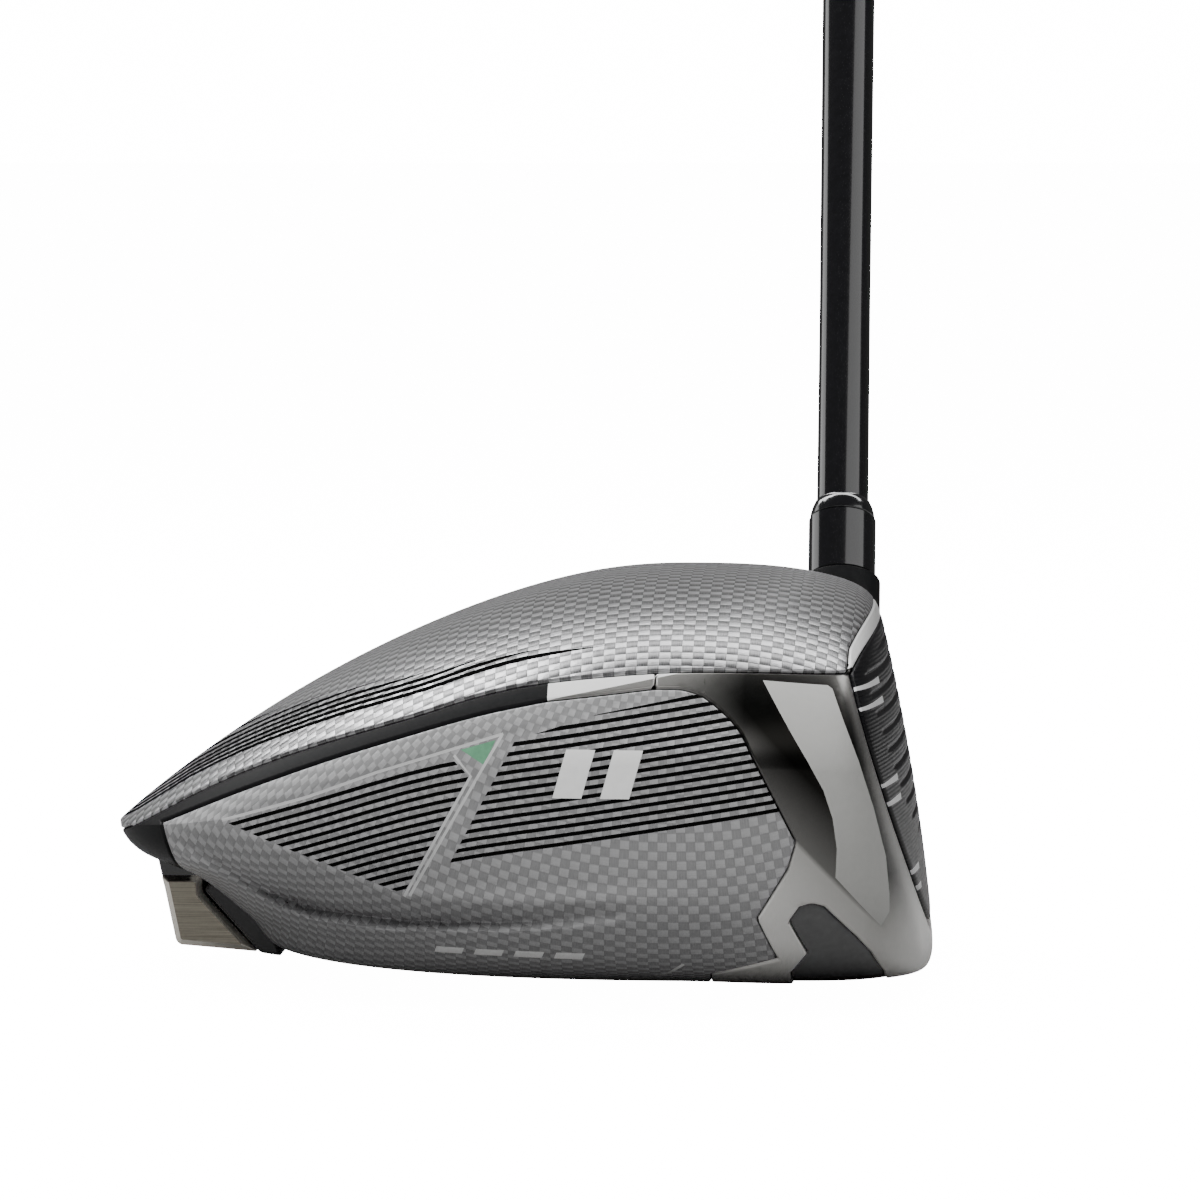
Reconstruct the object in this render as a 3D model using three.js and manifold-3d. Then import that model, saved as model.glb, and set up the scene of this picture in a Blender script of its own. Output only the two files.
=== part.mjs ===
// A golf driver: hollow head, adjustable loft sleeve, shaft and grip.
// Millimetres. +X is the target side, +Y the heel side, +Z up.
// The origin is the sole's flat contact point on the ground at address.
import * as THREE from 'three';
import Module from 'manifold-3d';

const wasm = await Module();
wasm.setup();

// ---- Driving dimensions ------------------------------------------------------------------------

const CROWN_TOP = 63.2;
const POLE_X = -14;
const REAR_REACH = 86.5;
const FRONT_REACH = 50;
const TOE_REACH = 64;
const HEEL_REACH = 62;
const SOLE_FLAT = 0.2;
const FACE_BLEND = 9;
const FACE = { x: 21, z: 30, loft: THREE.MathUtils.degToRad(9.3), bulge: 305, roll: 330 };

const GAP = 0.3;
const PANEL_WALL = 1.2;
const BODY_WALL = 2.6;
const LEDGE_REACH = 3;
const SUNK = 0.3;
const COVER_THICK = 0.5;
const FACE_THICK = 3.3;
const RIM_DEPTH = 4.7;

const LIE = THREE.MathUtils.degToRad(60);
const HOSEL_FOOT = new THREE.Vector3(9, 20, 0);
const HOSEL_R = 6.2;
const HOSEL_BORE_R = 5.05;
const HOSEL_TOP = 65.7;
const COLLAR_TOP = 76.3;
const SHELF_FLOOR = 26;
const SHELF_TOP = 30;
const SPLINE_COUNT = 12;
const CLUB_LENGTH = 1162;
const GRIP_LENGTH = 267;
const SHAFT_TIP = 43;
const SHAFT_TIP_R = 4.15;
const SHAFT_PARALLEL_END = 116;
const SHAFT_BUTT_R = 7.62;
const SHAFT_WALL = 1.1;
const SHAFT_END = CLUB_LENGTH - 4;
const GRIP_START = CLUB_LENGTH - GRIP_LENGTH;

const REAR_PORT = { at: new THREE.Vector3(-91.9, 0, 11), axis: new THREE.Vector3(-0.977, 0, -0.213) };
const FRONT_PORT = { at: new THREE.Vector3(9.5, -1, 0.9), axis: new THREE.Vector3(0, 0, -1) };
const WEIGHT_HEAD_R = 5.2;
const WEIGHT_SHANK_R = 2.85;
const BLOCK_HALF_WIDTH = 13;

// ---- Outer form of the head --------------------------------------------------------------------
// A ray from the pole at angle theta, with t from 0 at the crown's top to 2 at the sole's middle.

const UPPER = {
  rear: { p: 2.05, q: 1.15, z: 22 },
  side: { p: 2.5, q: 1.7, z: 38 },
  front: { p: 3, q: 1.5, z: 32 },
};
const LOWER = {
  rear: [[1, 22], [0.962, 18.2], [0.87, 15], [0.785, 9], [0.71, 3.2], [0.45, 1.2], [0, 0]],
  side: [[1, 38], [0.985, 27], [0.93, 14], [0.82, 6], [0.62, 2.2], [0.33, 0.5], [0, 0]],
  front: [[1, 32], [0.97, 20], [0.9, 8], [0.8, 2.5], [0.64, 0.55], [0.45, 0], [0, 0]],
};

function smoothMin(a, b, blend) {
  const h = Math.max(blend - Math.abs(a - b), 0) / blend;
  return Math.min(a, b) - (h ** 3 * blend) / 6;
}

function sectorWeights(theta) {
  const c = Math.cos(theta);
  return { rear: c < 0 ? c * c : 0, side: Math.sin(theta) ** 2, front: c > 0 ? c * c : 0 };
}

function mixSectors(weights, read) {
  return ['rear', 'side', 'front'].reduce((sum, key) => sum + weights[key] * read(key), 0);
}

function planRadius(theta, inset) {
  const c = Math.cos(theta);
  const s = Math.sin(theta);
  const along = (c < 0 ? REAR_REACH : FRONT_REACH) - inset;
  const across = (s < 0 ? TOE_REACH : HEEL_REACH) - inset;
  const power = c < 0 ? 2 : 2.5;
  return (Math.abs(c / along) ** power + Math.abs(s / across) ** power) ** (-1 / power);
}

function catmullRom(points, position, channel) {
  const last = points.length - 1;
  const start = Math.min(Math.floor(position), last - 1);
  const f = position - start;
  const at = (k) => points[THREE.MathUtils.clamp(k, 0, last)][channel];
  const [a, b, c, d] = [at(start - 1), at(start), at(start + 1), at(start + 2)];
  return 0.5 * (2 * b + (c - a) * f + (2 * a - 5 * b + 4 * c - d) * f ** 2
    + (3 * b - a - 3 * c + d) * f ** 3);
}

function profilePoint(theta, t) {
  const weights = sectorWeights(theta);
  if (t > 1) {
    const position = (t - 1) * (LOWER.rear.length - 1);
    return {
      reach: mixSectors(weights, (key) => catmullRom(LOWER[key], position, 0)),
      z: mixSectors(weights, (key) => catmullRom(LOWER[key], position, 1)),
    };
  }
  const p = mixSectors(weights, (key) => UPPER[key].p);
  const q = mixSectors(weights, (key) => UPPER[key].q);
  const rimZ = mixSectors(weights, (key) => UPPER[key].z);
  const angle = (t * Math.PI) / 2;
  return {
    reach: Math.sin(angle) ** (2 / p),
    z: rimZ + (CROWN_TOP - rimZ) * Math.max(Math.cos(angle), 0) ** (2 / q),
  };
}

// The face is a plane at the loft angle, curved by bulge across and roll up and down.
function faceRadius(theta, z, inset) {
  const c = Math.cos(theta);
  if (c < 0.02) return Infinity;
  const rise = z - FACE.z;
  const depth = FACE.x - Math.tan(FACE.loft) * rise - rise ** 2 / (2 * FACE.roll) - POLE_X - inset;
  const curve = Math.sin(theta) ** 2 / (2 * FACE.bulge);
  if (curve < 1e-9) return depth / c;
  return (Math.sqrt(c * c + 4 * curve * depth) - c) / (2 * curve);
}

function surfacePoint(theta, t, inset) {
  const point = profilePoint(theta, t);
  const shrink = (CROWN_TOP - 2 * inset) / CROWN_TOP;
  const z = inset + Math.max(point.z - SOLE_FLAT, 0) * shrink;
  const radius = point.reach * planRadius(theta, inset);
  const limit = faceRadius(theta, z, inset);
  const r = Math.max(Number.isFinite(limit) ? smoothMin(radius, limit, FACE_BLEND) : radius, 0);
  return [POLE_X + r * Math.cos(theta), r * Math.sin(theta), z];
}

// ---- Side outlines of the head's panels, as [x, z] ------------------------------------------------

const SEAM_REAR = [[-100, 22.5], [-83, 32], [-68, 38.4], [-51, 44], [-42, 47], [-32, 49.2]];
const SEAM_FRONT = [[-16, 50.8], [-2, 50.9], [11.6, 50.3]];
const CROWN_FRONT = [[11.8, 53.4], [13.3, 55.6], [15.2, 57.4], [19, 60]];
const RING_FRONT = [-16, 48.7];
const RING_LOWER = [
  [-31.6, 46.8], [-42.2, 44.4], [-56.8, 39.8], [-67.5, 36], [-79.7, 31.1], [-91, 26],
  [-89.5, 20], [-88.8, 16.5], [-88.5, 10],
];
const PANEL_FRONT = [
  [-12.4, 48.7], [-8.7, 47.5], [-4, 43.5], [-1.3, 38.4], [4.5, 26.8], [-1.2, 15.4], [1.6, 8.8],
  [-8.2, 5.7], [-10.5, -5],
];
const FACE_RIM = [
  [25, -5], [24.2, 6.1], [21.9, 15.9], [17.3, 31.6], [12, 50], [14.1, 53.1], [18, 56.5], [24, 60],
];
const POCKET = [
  [3.5, 14.9], [5.1, 17.2], [6.8, 17.5], [8.5, 17], [13.1, 11.9], [15.1, 9.1], [16.8, 5.1],
  [17.2, -3], [3, -3], [3.4, 5.8], [6, 9.5],
];

const OUTLINES = {
  crown: [[-110, 17], ...SEAM_REAR, ...SEAM_FRONT, ...CROWN_FRONT, [19, 90], [-110, 90]],
  ring: [[-110, 17], ...SEAM_REAR, SEAM_FRONT[0], RING_FRONT, ...RING_LOWER, [-110, 10]],
  panel: [[-110, -5], [-110, 10], ...RING_LOWER.toReversed(), RING_FRONT, ...PANEL_FRONT],
  face: [...FACE_RIM, [45, 60], [45, -5]],
};
// The face's heel end seen from the front, as [y, z].
const FACE_FRONT = [[-80, -6], [31, -6], [33, 8], [34, 25], [35.5, 40], [40.5, 50], [46, 61], [-80, 61]];

// ---- Solid helpers -----------------------------------------------------------------------------

// Joins vertices at one place and drops triangles that collapse.
function toManifold(geometry) {
  const flat = geometry.index ? geometry.toNonIndexed() : geometry;
  const position = flat.attributes.position;
  const seen = new Map();
  const vertices = [];
  const corners = [];
  for (let i = 0; i < position.count; i += 1) {
    const point = [position.getX(i), position.getY(i), position.getZ(i)];
    const key = point.map((value) => Math.round(value * 1e4)).join();
    if (!seen.has(key)) {
      seen.set(key, vertices.length / 3);
      vertices.push(...point);
    }
    corners.push(seen.get(key));
  }
  const triangles = [];
  for (let i = 0; i < corners.length; i += 3) {
    const [a, b, c] = corners.slice(i, i + 3);
    if (a !== b && b !== c && a !== c) triangles.push(a, b, c);
  }
  return new wasm.Manifold(new wasm.Mesh({
    numProp: 3,
    vertProperties: new Float32Array(vertices),
    triVerts: new Uint32Array(triangles),
  }));
}

// Keeps the largest body, without the slivers a cut can leave at a shallow crossing.
function toGeometry(solid) {
  const bodies = solid.decompose().sort((a, b) => b.volume() - a.volume());
  const mesh = bodies[0].getMesh();
  const indexed = new THREE.BufferGeometry();
  const points = new Float32Array(mesh.numVert * 3);
  for (let i = 0; i < mesh.numVert; i += 1) {
    points.set(mesh.vertProperties.subarray(i * mesh.numProp, i * mesh.numProp + 3), i * 3);
  }
  indexed.setAttribute('position', new THREE.BufferAttribute(points, 3));
  indexed.setIndex(new THREE.BufferAttribute(mesh.triVerts, 1));
  const geometry = indexed.toNonIndexed();
  geometry.computeVertexNormals();
  return geometry;
}

function headSolid(inset, around = 44, down = 20) {
  const positions = [];
  const index = [];
  for (let j = 0; j <= down; j += 1) {
    for (let i = 0; i < around; i += 1) {
      positions.push(...surfacePoint((i / around) * 2 * Math.PI, (2 * j) / down, inset));
    }
  }
  for (let j = 0; j < down; j += 1) {
    for (let i = 0; i < around; i += 1) {
      const a = j * around + i;
      const b = j * around + ((i + 1) % around);
      index.push(a, a + around, b, b, a + around, b + around);
    }
  }
  const geometry = new THREE.BufferGeometry();
  geometry.setAttribute('position', new THREE.Float32BufferAttribute(positions, 3));
  geometry.setIndex(index);
  return toManifold(geometry);
}

function extruded(outline, from, to) {
  const shape = new THREE.Shape(outline.map(([x, y]) => new THREE.Vector2(x, y)));
  const geometry = new THREE.ExtrudeGeometry(shape, { depth: to - from, bevelEnabled: false });
  geometry.translate(0, 0, from);
  return geometry;
}

// A prism with an [x, z] outline that runs along Y.
function sidePrism(outline, fromY = -90, toY = 90) {
  return toManifold(extruded(outline, -toY, -fromY).rotateX(Math.PI / 2));
}

// A prism with a [y, z] outline that runs along X.
function frontPrism(outline) {
  return toManifold(extruded(outline, -50, 90).rotateX(Math.PI / 2).rotateZ(Math.PI / 2));
}

// Moves every side of a closed outline outward by the distance.
function grown(outline, distance) {
  const points = outline.map(([x, y]) => new THREE.Vector2(x, y));
  const outward = THREE.ShapeUtils.area(points) > 0 ? 1 : -1;
  const normal = (a, b) => new THREE.Vector2(b.y - a.y, a.x - b.x).normalize();
  return points.map((point, i) => {
    const before = normal(points.at(i - 1), point);
    const after = normal(point, points[(i + 1) % points.length]);
    const bisector = before.clone().add(after).normalize();
    const reach = Math.min(1 / Math.max(bisector.dot(after), 0.2), 3) * distance * outward;
    return [point.x + bisector.x * reach, point.y + bisector.y * reach];
  });
}

// A closed ring or solid turned about +Z from [radius, z] points.
function turned(profile, segments = 24) {
  const points = [...profile, profile[0]].map(([r, z]) => new THREE.Vector2(r, z));
  return new THREE.LatheGeometry(points, segments).rotateX(Math.PI / 2);
}

function tube(outer, inner, from, to, segments) {
  return turned([[inner, from], [outer, from], [outer, to], [inner, to]], segments);
}

function rod(radius, from, to, segments = 24) {
  const geometry = new THREE.CylinderGeometry(radius, radius, to - from, segments);
  return geometry.rotateX(Math.PI / 2).translate(0, 0, (from + to) / 2);
}

function onHosel(geometry) {
  return geometry.rotateX(LIE - Math.PI / 2).translate(...HOSEL_FOOT.toArray());
}

// Turns +Z to a port's outward axis, with z = 0 at the port's mouth.
function onPort(port, geometry) {
  const turn = new THREE.Quaternion();
  turn.setFromUnitVectors(new THREE.Vector3(0, 0, 1), port.axis.clone().normalize());
  return geometry.applyQuaternion(turn).translate(...port.at.toArray());
}

// ---- Head shells -------------------------------------------------------------------------------

const outerForm = headSolid(0);
const shell = (outer, inner) => outer.subtract(inner);
const panelShell = shell(outerForm, headSolid(PANEL_WALL));
const bodyShell = shell(outerForm, headSolid(BODY_WALL));
const ledgeShell = shell(headSolid(PANEL_WALL + GAP), headSolid(BODY_WALL - SUNK));
const innerForm = headSolid(SUNK);

const clearOf = (name) => sidePrism(grown(OUTLINES[name], GAP / 2));
const within = (name, reach = -GAP / 2) => sidePrism(grown(OUTLINES[name], reach));
const facePrism = (reach) => within('face', reach).intersect(frontPrism(grown(FACE_FRONT, reach)));

function hoselHole(radius, from, to) {
  return toManifold(onHosel(rod(radius, from, to)));
}

function crown() {
  const panel = panelShell.intersect(within('crown'));
  return toGeometry(panel.subtract(hoselHole(HOSEL_R + GAP, 30, 90)));
}

function inertiaRing() {
  const band = bodyShell.intersect(within('ring'));
  const ledge = ledgeShell.intersect(within('ring', LEDGE_REACH));
  const frontLimit = RING_FRONT[0] - GAP / 2;
  const rearward = sidePrism([[-110, 12], [frontLimit, 12], [frontLimit, 60], [-110, 60]]);
  return toGeometry(band.add(ledge).intersect(rearward).subtract(rearWeightRoom()));
}

function solePanel() {
  const panel = panelShell.intersect(within('panel'));
  return toGeometry(panel.subtract(rearWeightRoom()));
}

function frontWall() {
  const skin = ['crown', 'ring', 'panel'].reduce((rest, name) => rest.subtract(clearOf(name)), bodyShell);
  const ledgeFront = sidePrism([[RING_FRONT[0] + GAP, -5], [60, -5], [60, 80], [RING_FRONT[0] + GAP, 80]]);
  const panelLedge = ledgeShell.subtract(within('panel', -LEDGE_REACH)).intersect(ledgeFront);
  const ledge = panelLedge.subtract(within('crown', -LEDGE_REACH)).subtract(clearOf('ring'));
  const rim = shell(innerForm, headSolid(RIM_DEPTH));
  const faceRim = rim.intersect(facePrism(LEDGE_REACH)).subtract(clearOf('crown'));
  return skin.add(ledge).add(faceRim);
}

function frontBody() {
  const faceSeat = facePrism(GAP / 2).subtract(headSolid(FACE_THICK + GAP));
  const faceRoom = faceSeat.add(facePrism(-LEDGE_REACH));
  const lowerTube = hoselHole(HOSEL_R, -4, SHELF_TOP).intersect(innerForm);
  const upperTube = hoselHole(HOSEL_R, SHELF_TOP - 1, HOSEL_TOP);
  const frontBoss = toManifold(onPort(FRONT_PORT, rod(7, -8.5, 3))).intersect(innerForm);
  const pocketRoom = sidePrism(grown(POCKET, GAP), -80, -9 + GAP);
  const bores = [
    hoselHole(4.8, -6, SHELF_FLOOR),
    hoselHole(2.75, SHELF_FLOOR - 1, SHELF_TOP + 1),
    hoselHole(HOSEL_BORE_R, SHELF_TOP, HOSEL_TOP + 2),
    toManifold(onHosel(splineRod(GAP, HOSEL_TOP - 11, HOSEL_TOP + 2))),
    toManifold(onPort(FRONT_PORT, rod(WEIGHT_HEAD_R + 0.4, -3.5, 4))),
    toManifold(onPort(FRONT_PORT, rod(WEIGHT_SHANK_R + GAP, -12, 0))),
  ];
  const wall = frontWall().subtract(faceRoom).subtract(pocketRoom);
  const whole = wall.add(lowerTube).add(upperTube).add(frontBoss);
  return toGeometry(bores.reduce((rest, bore) => rest.subtract(bore), whole));
}

function faceCover() {
  return toGeometry(shell(outerForm, headSolid(COVER_THICK)).intersect(facePrism(-GAP / 2)));
}

function faceInsert() {
  const plate = shell(headSolid(COVER_THICK + GAP), headSolid(FACE_THICK));
  return toGeometry(plate.intersect(facePrism(-GAP / 2)));
}

function pocketInsert() {
  const strip = shell(headSolid(0.5), headSolid(BODY_WALL - 0.4));
  return toGeometry(strip.intersect(sidePrism(POCKET, -80, -9)));
}

// ---- Rear weight -------------------------------------------------------------------------------

const BLOCK = [[-93.8, 19.4], [-92.6, 14.2], [-90.9, 6.1], [-90.3, 5.5], [-78.4, 4.5], [-86.8, 13.5], [-88, 19]];
const HOUSING = [[-86.5, 13.9], [-78, 4.4], [-74.6, 3.9], [-79.5, 14], [-84, 17]];

function rearHousingSolid(extra) {
  const wedge = sidePrism(grown(HOUSING, extra), -BLOCK_HALF_WIDTH - extra, BLOCK_HALF_WIDTH + extra);
  const boss = toManifold(onPort(REAR_PORT, rod(6.5 + extra, -20 - extra, -7)));
  return wedge.add(boss);
}

// What the ring and the sole panel leave free for the housing and the screw's way in.
function rearWeightRoom() {
  return rearHousingSolid(GAP).add(toManifold(onPort(REAR_PORT, rod(6.5 + GAP, -20, 6))));
}

function rearWeightHousing() {
  const bore = toManifold(onPort(REAR_PORT, rod(4.9, -17.3, -4)));
  const vent = toManifold(onPort(REAR_PORT, rod(WEIGHT_SHANK_R + GAP, -24, -4)));
  return toGeometry(rearHousingSolid(0).subtract(bore).subtract(vent));
}

function rearWeightBlock() {
  const block = sidePrism(BLOCK, -BLOCK_HALF_WIDTH, BLOCK_HALF_WIDTH).subtract(headSolid(-GAP));
  const seat = toManifold(onPort(REAR_PORT, rod(WEIGHT_HEAD_R + 0.4, -3.5, 6)));
  const hole = toManifold(onPort(REAR_PORT, rod(WEIGHT_SHANK_R + GAP, -14, 0)));
  return toGeometry(block.subtract(rearHousingSolid(GAP)).subtract(seat).subtract(hole));
}

function rearWeightBush() {
  return onPort(REAR_PORT, tube(4.6, WEIGHT_SHANK_R + GAP, -17, -7));
}

// A weight screw with a six-sided socket; its head's outer face is at z = 0.
function weightScrew(port, shankEnd) {
  const body = turned([
    [0, -shankEnd], [WEIGHT_SHANK_R - 0.5, -shankEnd], [WEIGHT_SHANK_R, 0.5 - shankEnd],
    [WEIGHT_SHANK_R, -2.6], [WEIGHT_HEAD_R, -2.6], [WEIGHT_HEAD_R, -0.5], [WEIGHT_HEAD_R - 0.5, 0], [0, 0],
  ]);
  const socket = toManifold(rod(2.3, -2.2, 1, 6));
  return onPort(port, toGeometry(toManifold(body).subtract(socket)));
}

function weightWasher(port) {
  return onPort(port, tube(WEIGHT_HEAD_R - 0.2, WEIGHT_SHANK_R + GAP, -3.3, -2.8));
}

// ---- Hosel, sleeve and shaft -----------------------------------------------------------------------

function splineRod(extra, from, to) {
  const steps = SPLINE_COUNT * 4;
  const outline = [];
  for (let i = 0; i < steps; i += 1) {
    const angle = (i / steps) * 2 * Math.PI;
    const radius = (i % 4 < 2 ? 5.25 : 4.7) + extra;
    outline.push([radius * Math.cos(angle), radius * Math.sin(angle)]);
  }
  return extruded(outline, from, to);
}

function loftSleeve() {
  const boreR = SHAFT_TIP_R + 0.25;
  const tubeR = HOSEL_BORE_R - GAP;
  const collarFoot = HOSEL_TOP + GAP;
  const body = toManifold(turned([
    [2.7, 34], [tubeR - 0.5, 34], [tubeR, 34.5], [tubeR, collarFoot], [5.4, collarFoot],
    [5.4, COLLAR_TOP], [boreR, COLLAR_TOP], [boreR, 42.5], [2.7, 42.5],
  ]));
  const ring = splineRod(0, HOSEL_TOP - 10.5, collarFoot + 0.1);
  const splines = toManifold(ring).subtract(toManifold(rod(4.6, 50, 70)));
  return onHosel(toGeometry(body.add(splines)));
}

function ferrule() {
  const boreR = SHAFT_TIP_R + 0.25;
  const foot = COLLAR_TOP + GAP;
  return onHosel(turned([
    [boreR, foot], [5.3, foot], [5.2, foot + 1.8], [4.9, foot + 2.7], [boreR, foot + 3],
  ]));
}

function shaftRadius(s) {
  const along = (s - SHAFT_PARALLEL_END) / (CLUB_LENGTH - SHAFT_PARALLEL_END);
  return SHAFT_TIP_R + (SHAFT_BUTT_R - SHAFT_TIP_R) * Math.max(along, 0);
}

function shaft() {
  const outer = [SHAFT_TIP, SHAFT_PARALLEL_END, 400, 700, SHAFT_END].map((s) => [shaftRadius(s), s]);
  const inner = outer.map(([r, s]) => [r - SHAFT_WALL, s]).reverse();
  return onHosel(turned([...outer, ...inner]));
}

function gripTape() {
  const ends = [GRIP_START + 3, SHAFT_END];
  const outer = ends.map((s) => [shaftRadius(s) + GAP + 0.25, s]);
  const inner = ends.map((s) => [shaftRadius(s) + GAP, s]).reverse();
  return onHosel(turned([...outer, ...inner]));
}

function grip() {
  const outer = [
    [9, GRIP_START], [9.6, GRIP_START + 4], [10.4, GRIP_START + 90], [11.6, GRIP_START + 175],
    [13.4, CLUB_LENGTH - 8], [13.6, CLUB_LENGTH - 3.5],
  ];
  const inner = [CLUB_LENGTH - 3.5, GRIP_START].map((s) => [shaftRadius(s) + 2 * GAP + 0.25, s]);
  return onHosel(turned([...outer, ...inner]));
}

function gripCap() {
  return onHosel(turned([
    [1.6, CLUB_LENGTH - 3.2], [13.6, CLUB_LENGTH - 3.2], [13.5, CLUB_LENGTH - 1.4],
    [12.2, CLUB_LENGTH], [1.6, CLUB_LENGTH],
  ]));
}

function hoselScrew() {
  const body = turned([
    [0, 20], [4, 20], [4.4, 20.4], [4.4, 25], [2.4, 25], [2.4, 41.6], [1.9, 42.1], [0, 42.1],
  ]);
  return onHosel(toGeometry(toManifold(body).subtract(toManifold(rod(2, 19, 23, 6)))));
}

function hoselWasher() {
  return onHosel(tube(4.4, 2.75, 25.25, 25.75));
}

function hoselRetainer() {
  return onHosel(tube(4.7, 2.75, SHELF_TOP + GAP, SHELF_TOP + 1.5));
}

// ---- Materials and assembly ----------------------------------------------------------------------

function material(color, roughness, metalness) {
  return new THREE.MeshStandardMaterial({ color, roughness, metalness });
}

const MATERIALS = {
  silverCarbon: material('#a7a7a8', 0.3, 0.5),
  greyCarbon: material('#6f7072', 0.38, 0.35),
  titanium: material('#8b8a85', 0.4, 0.9),
  blackAluminium: material('#1d1e1f', 0.45, 0.7),
  blackPolymer: material('#141516', 0.5, 0.1),
  faceFilm: material('#202122', 0.42, 0.1),
  faceCarbon: material('#17181a', 0.5, 0.2),
  tungsten: material('#7d776a', 0.35, 0.95),
  steel: material('#9a9b9d', 0.3, 1),
  glossBlack: material('#0b0b0d', 0.12, 0.2),
  rubber: material('#18191a', 0.85, 0),
  tape: material('#d9d6cc', 0.8, 0),
};

const PIECES = [
  ['crown', crown(), 'silverCarbon'],
  ['front_body', frontBody(), 'titanium'],
  ['inertia_ring', inertiaRing(), 'blackAluminium'],
  ['sole_panel', solePanel(), 'greyCarbon'],
  ['face_cover', faceCover(), 'faceFilm'],
  ['face_insert', faceInsert(), 'faceCarbon'],
  ['pocket_insert', pocketInsert(), 'blackPolymer'],
  ['rear_weight_housing', rearWeightHousing(), 'blackPolymer'],
  ['rear_weight_block', rearWeightBlock(), 'tungsten'],
  ['rear_weight_bush', rearWeightBush(), 'steel'],
  ['rear_weight_screw', weightScrew(REAR_PORT, 15), 'tungsten'],
  ['rear_weight_washer', weightWasher(REAR_PORT), 'steel'],
  ['front_weight_screw', weightScrew(FRONT_PORT, 8), 'tungsten'],
  ['front_weight_washer', weightWasher(FRONT_PORT), 'steel'],
  ['loft_sleeve', loftSleeve(), 'glossBlack'],
  ['ferrule', ferrule(), 'glossBlack'],
  ['hosel_screw', hoselScrew(), 'steel'],
  ['hosel_washer', hoselWasher(), 'steel'],
  ['hosel_retainer', hoselRetainer(), 'blackPolymer'],
  ['shaft', shaft(), 'glossBlack'],
  ['grip_tape', gripTape(), 'tape'],
  ['grip', grip(), 'rubber'],
  ['grip_cap', gripCap(), 'rubber'],
];

const driver = new THREE.Group();
driver.name = 'golf_driver';
for (const [name, geometry, finish] of PIECES) {
  const mesh = new THREE.Mesh(geometry, MATERIALS[finish]);
  mesh.name = name;
  driver.add(mesh);
}

export default driver;
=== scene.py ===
"""Looks of the golf driver: fine head surfaces, trim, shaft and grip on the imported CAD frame."""
import math

import bmesh
import bpy
import numpy as np
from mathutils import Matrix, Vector


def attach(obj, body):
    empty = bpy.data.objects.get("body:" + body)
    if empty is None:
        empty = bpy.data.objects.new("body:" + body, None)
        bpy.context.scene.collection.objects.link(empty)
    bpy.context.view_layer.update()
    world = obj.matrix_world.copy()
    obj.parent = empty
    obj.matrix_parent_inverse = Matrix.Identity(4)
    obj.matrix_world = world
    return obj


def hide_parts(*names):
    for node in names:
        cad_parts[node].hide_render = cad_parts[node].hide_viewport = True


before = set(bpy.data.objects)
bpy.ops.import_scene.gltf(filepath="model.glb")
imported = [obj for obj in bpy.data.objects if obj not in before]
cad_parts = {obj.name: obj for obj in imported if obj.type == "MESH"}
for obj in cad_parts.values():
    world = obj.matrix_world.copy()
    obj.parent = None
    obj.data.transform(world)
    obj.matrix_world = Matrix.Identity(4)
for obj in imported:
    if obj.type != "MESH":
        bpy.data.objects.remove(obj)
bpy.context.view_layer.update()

MM = 0.001

# ---- The head's outer form, close to the CAD's, in millimetres ----

CROWN_TOP = 62.9
POLE_X = -14
REAR_REACH = 86.5
FRONT_REACH = 50
TOE_REACH = 64
HEEL_REACH = 62
SOLE_FLAT = 0.2
FACE_BLEND = 9
FACE_X, FACE_Z, FACE_LOFT = 21, 30, math.radians(9.3)
BULGE_R, ROLL_R = 305, 330

UPPER = {"rear": (1.8, 1.04, 24), "side": (2.5, 1.7, 38), "front": (3, 1.5, 32)}
LOWER = {
    "rear": [(1, 24), (0.968, 19.8), (0.87, 16.3), (0.785, 10.5), (0.71, 4.6), (0.45, 2.4), (0, 0)],
    "side": [(1, 38), (0.985, 27), (0.93, 15.6), (0.82, 8.6), (0.62, 4.6), (0.33, 1.8), (0, 0)],
    "front": [(1, 32), (0.97, 20), (0.9, 8.4), (0.8, 3), (0.64, 0.9), (0.45, 0.1), (0, 0)],
}

LIE = math.radians(60)
HOSEL_FOOT = np.array([9.0, 20.0, 0.0])
HOSEL_AXIS = np.array([0.0, math.cos(LIE), math.sin(LIE)])
HOSEL_R = 6.2
REAR_PORT = np.array([-91.9, 0.0, 11.0])
REAR_AXIS = np.array([-0.977, 0.0, -0.213])
FRONT_PORT = np.array([9.5, -1.0, 0.9])

GAP = 0.3
SEAM_INSET = 0.09
PANEL_WALL = 1.2
# A panel's edge: its radius, the rows of vertices round it as shares of the radius, and how far it leans.
EDGE_R = 0.32
EDGE_ROWS = (0.12, 0.4, 1)
EDGE_LEAN = 0.94


def sector_mix(theta, values):
    """Blends a rear, a side and a front value by direction from the pole."""
    c, s = np.cos(theta), np.sin(theta)
    rear = np.where(c < 0, c * c, 0)
    front = np.where(c > 0, c * c, 0)
    return rear * values[0] + s * s * values[1] + front * values[2]


def plan_radius(theta):
    c, s = np.cos(theta), np.sin(theta)
    along = np.where(c < 0, REAR_REACH, FRONT_REACH)
    across = np.where(s < 0, TOE_REACH, HEEL_REACH)
    power = np.where(c < 0, 2.0, 2.5)
    return (np.abs(c / along) ** power + np.abs(s / across) ** power) ** (-1 / power)


def catmull_rom(points, position):
    """The place on a smooth line through the points, at a position counted in points."""
    table = np.array(points, float)
    last = len(points) - 1
    start = np.clip(np.floor(position).astype(int), 0, last - 1)
    f = (position - start)[..., None]
    a, b, c, d = (table[np.clip(start + k, 0, last)] for k in (-1, 0, 1, 2))
    curve = 2 * b + (c - a) * f + (2 * a - 5 * b + 4 * c - d) * f**2 + (3 * b - a - 3 * c + d) * f**3
    return curve / 2


def upright_start(points):
    """The points after one more that makes the smooth line start straight down."""
    (_, top), (reach, height) = points[:2]
    return [(reach, 2 * top - height), *points]


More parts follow.
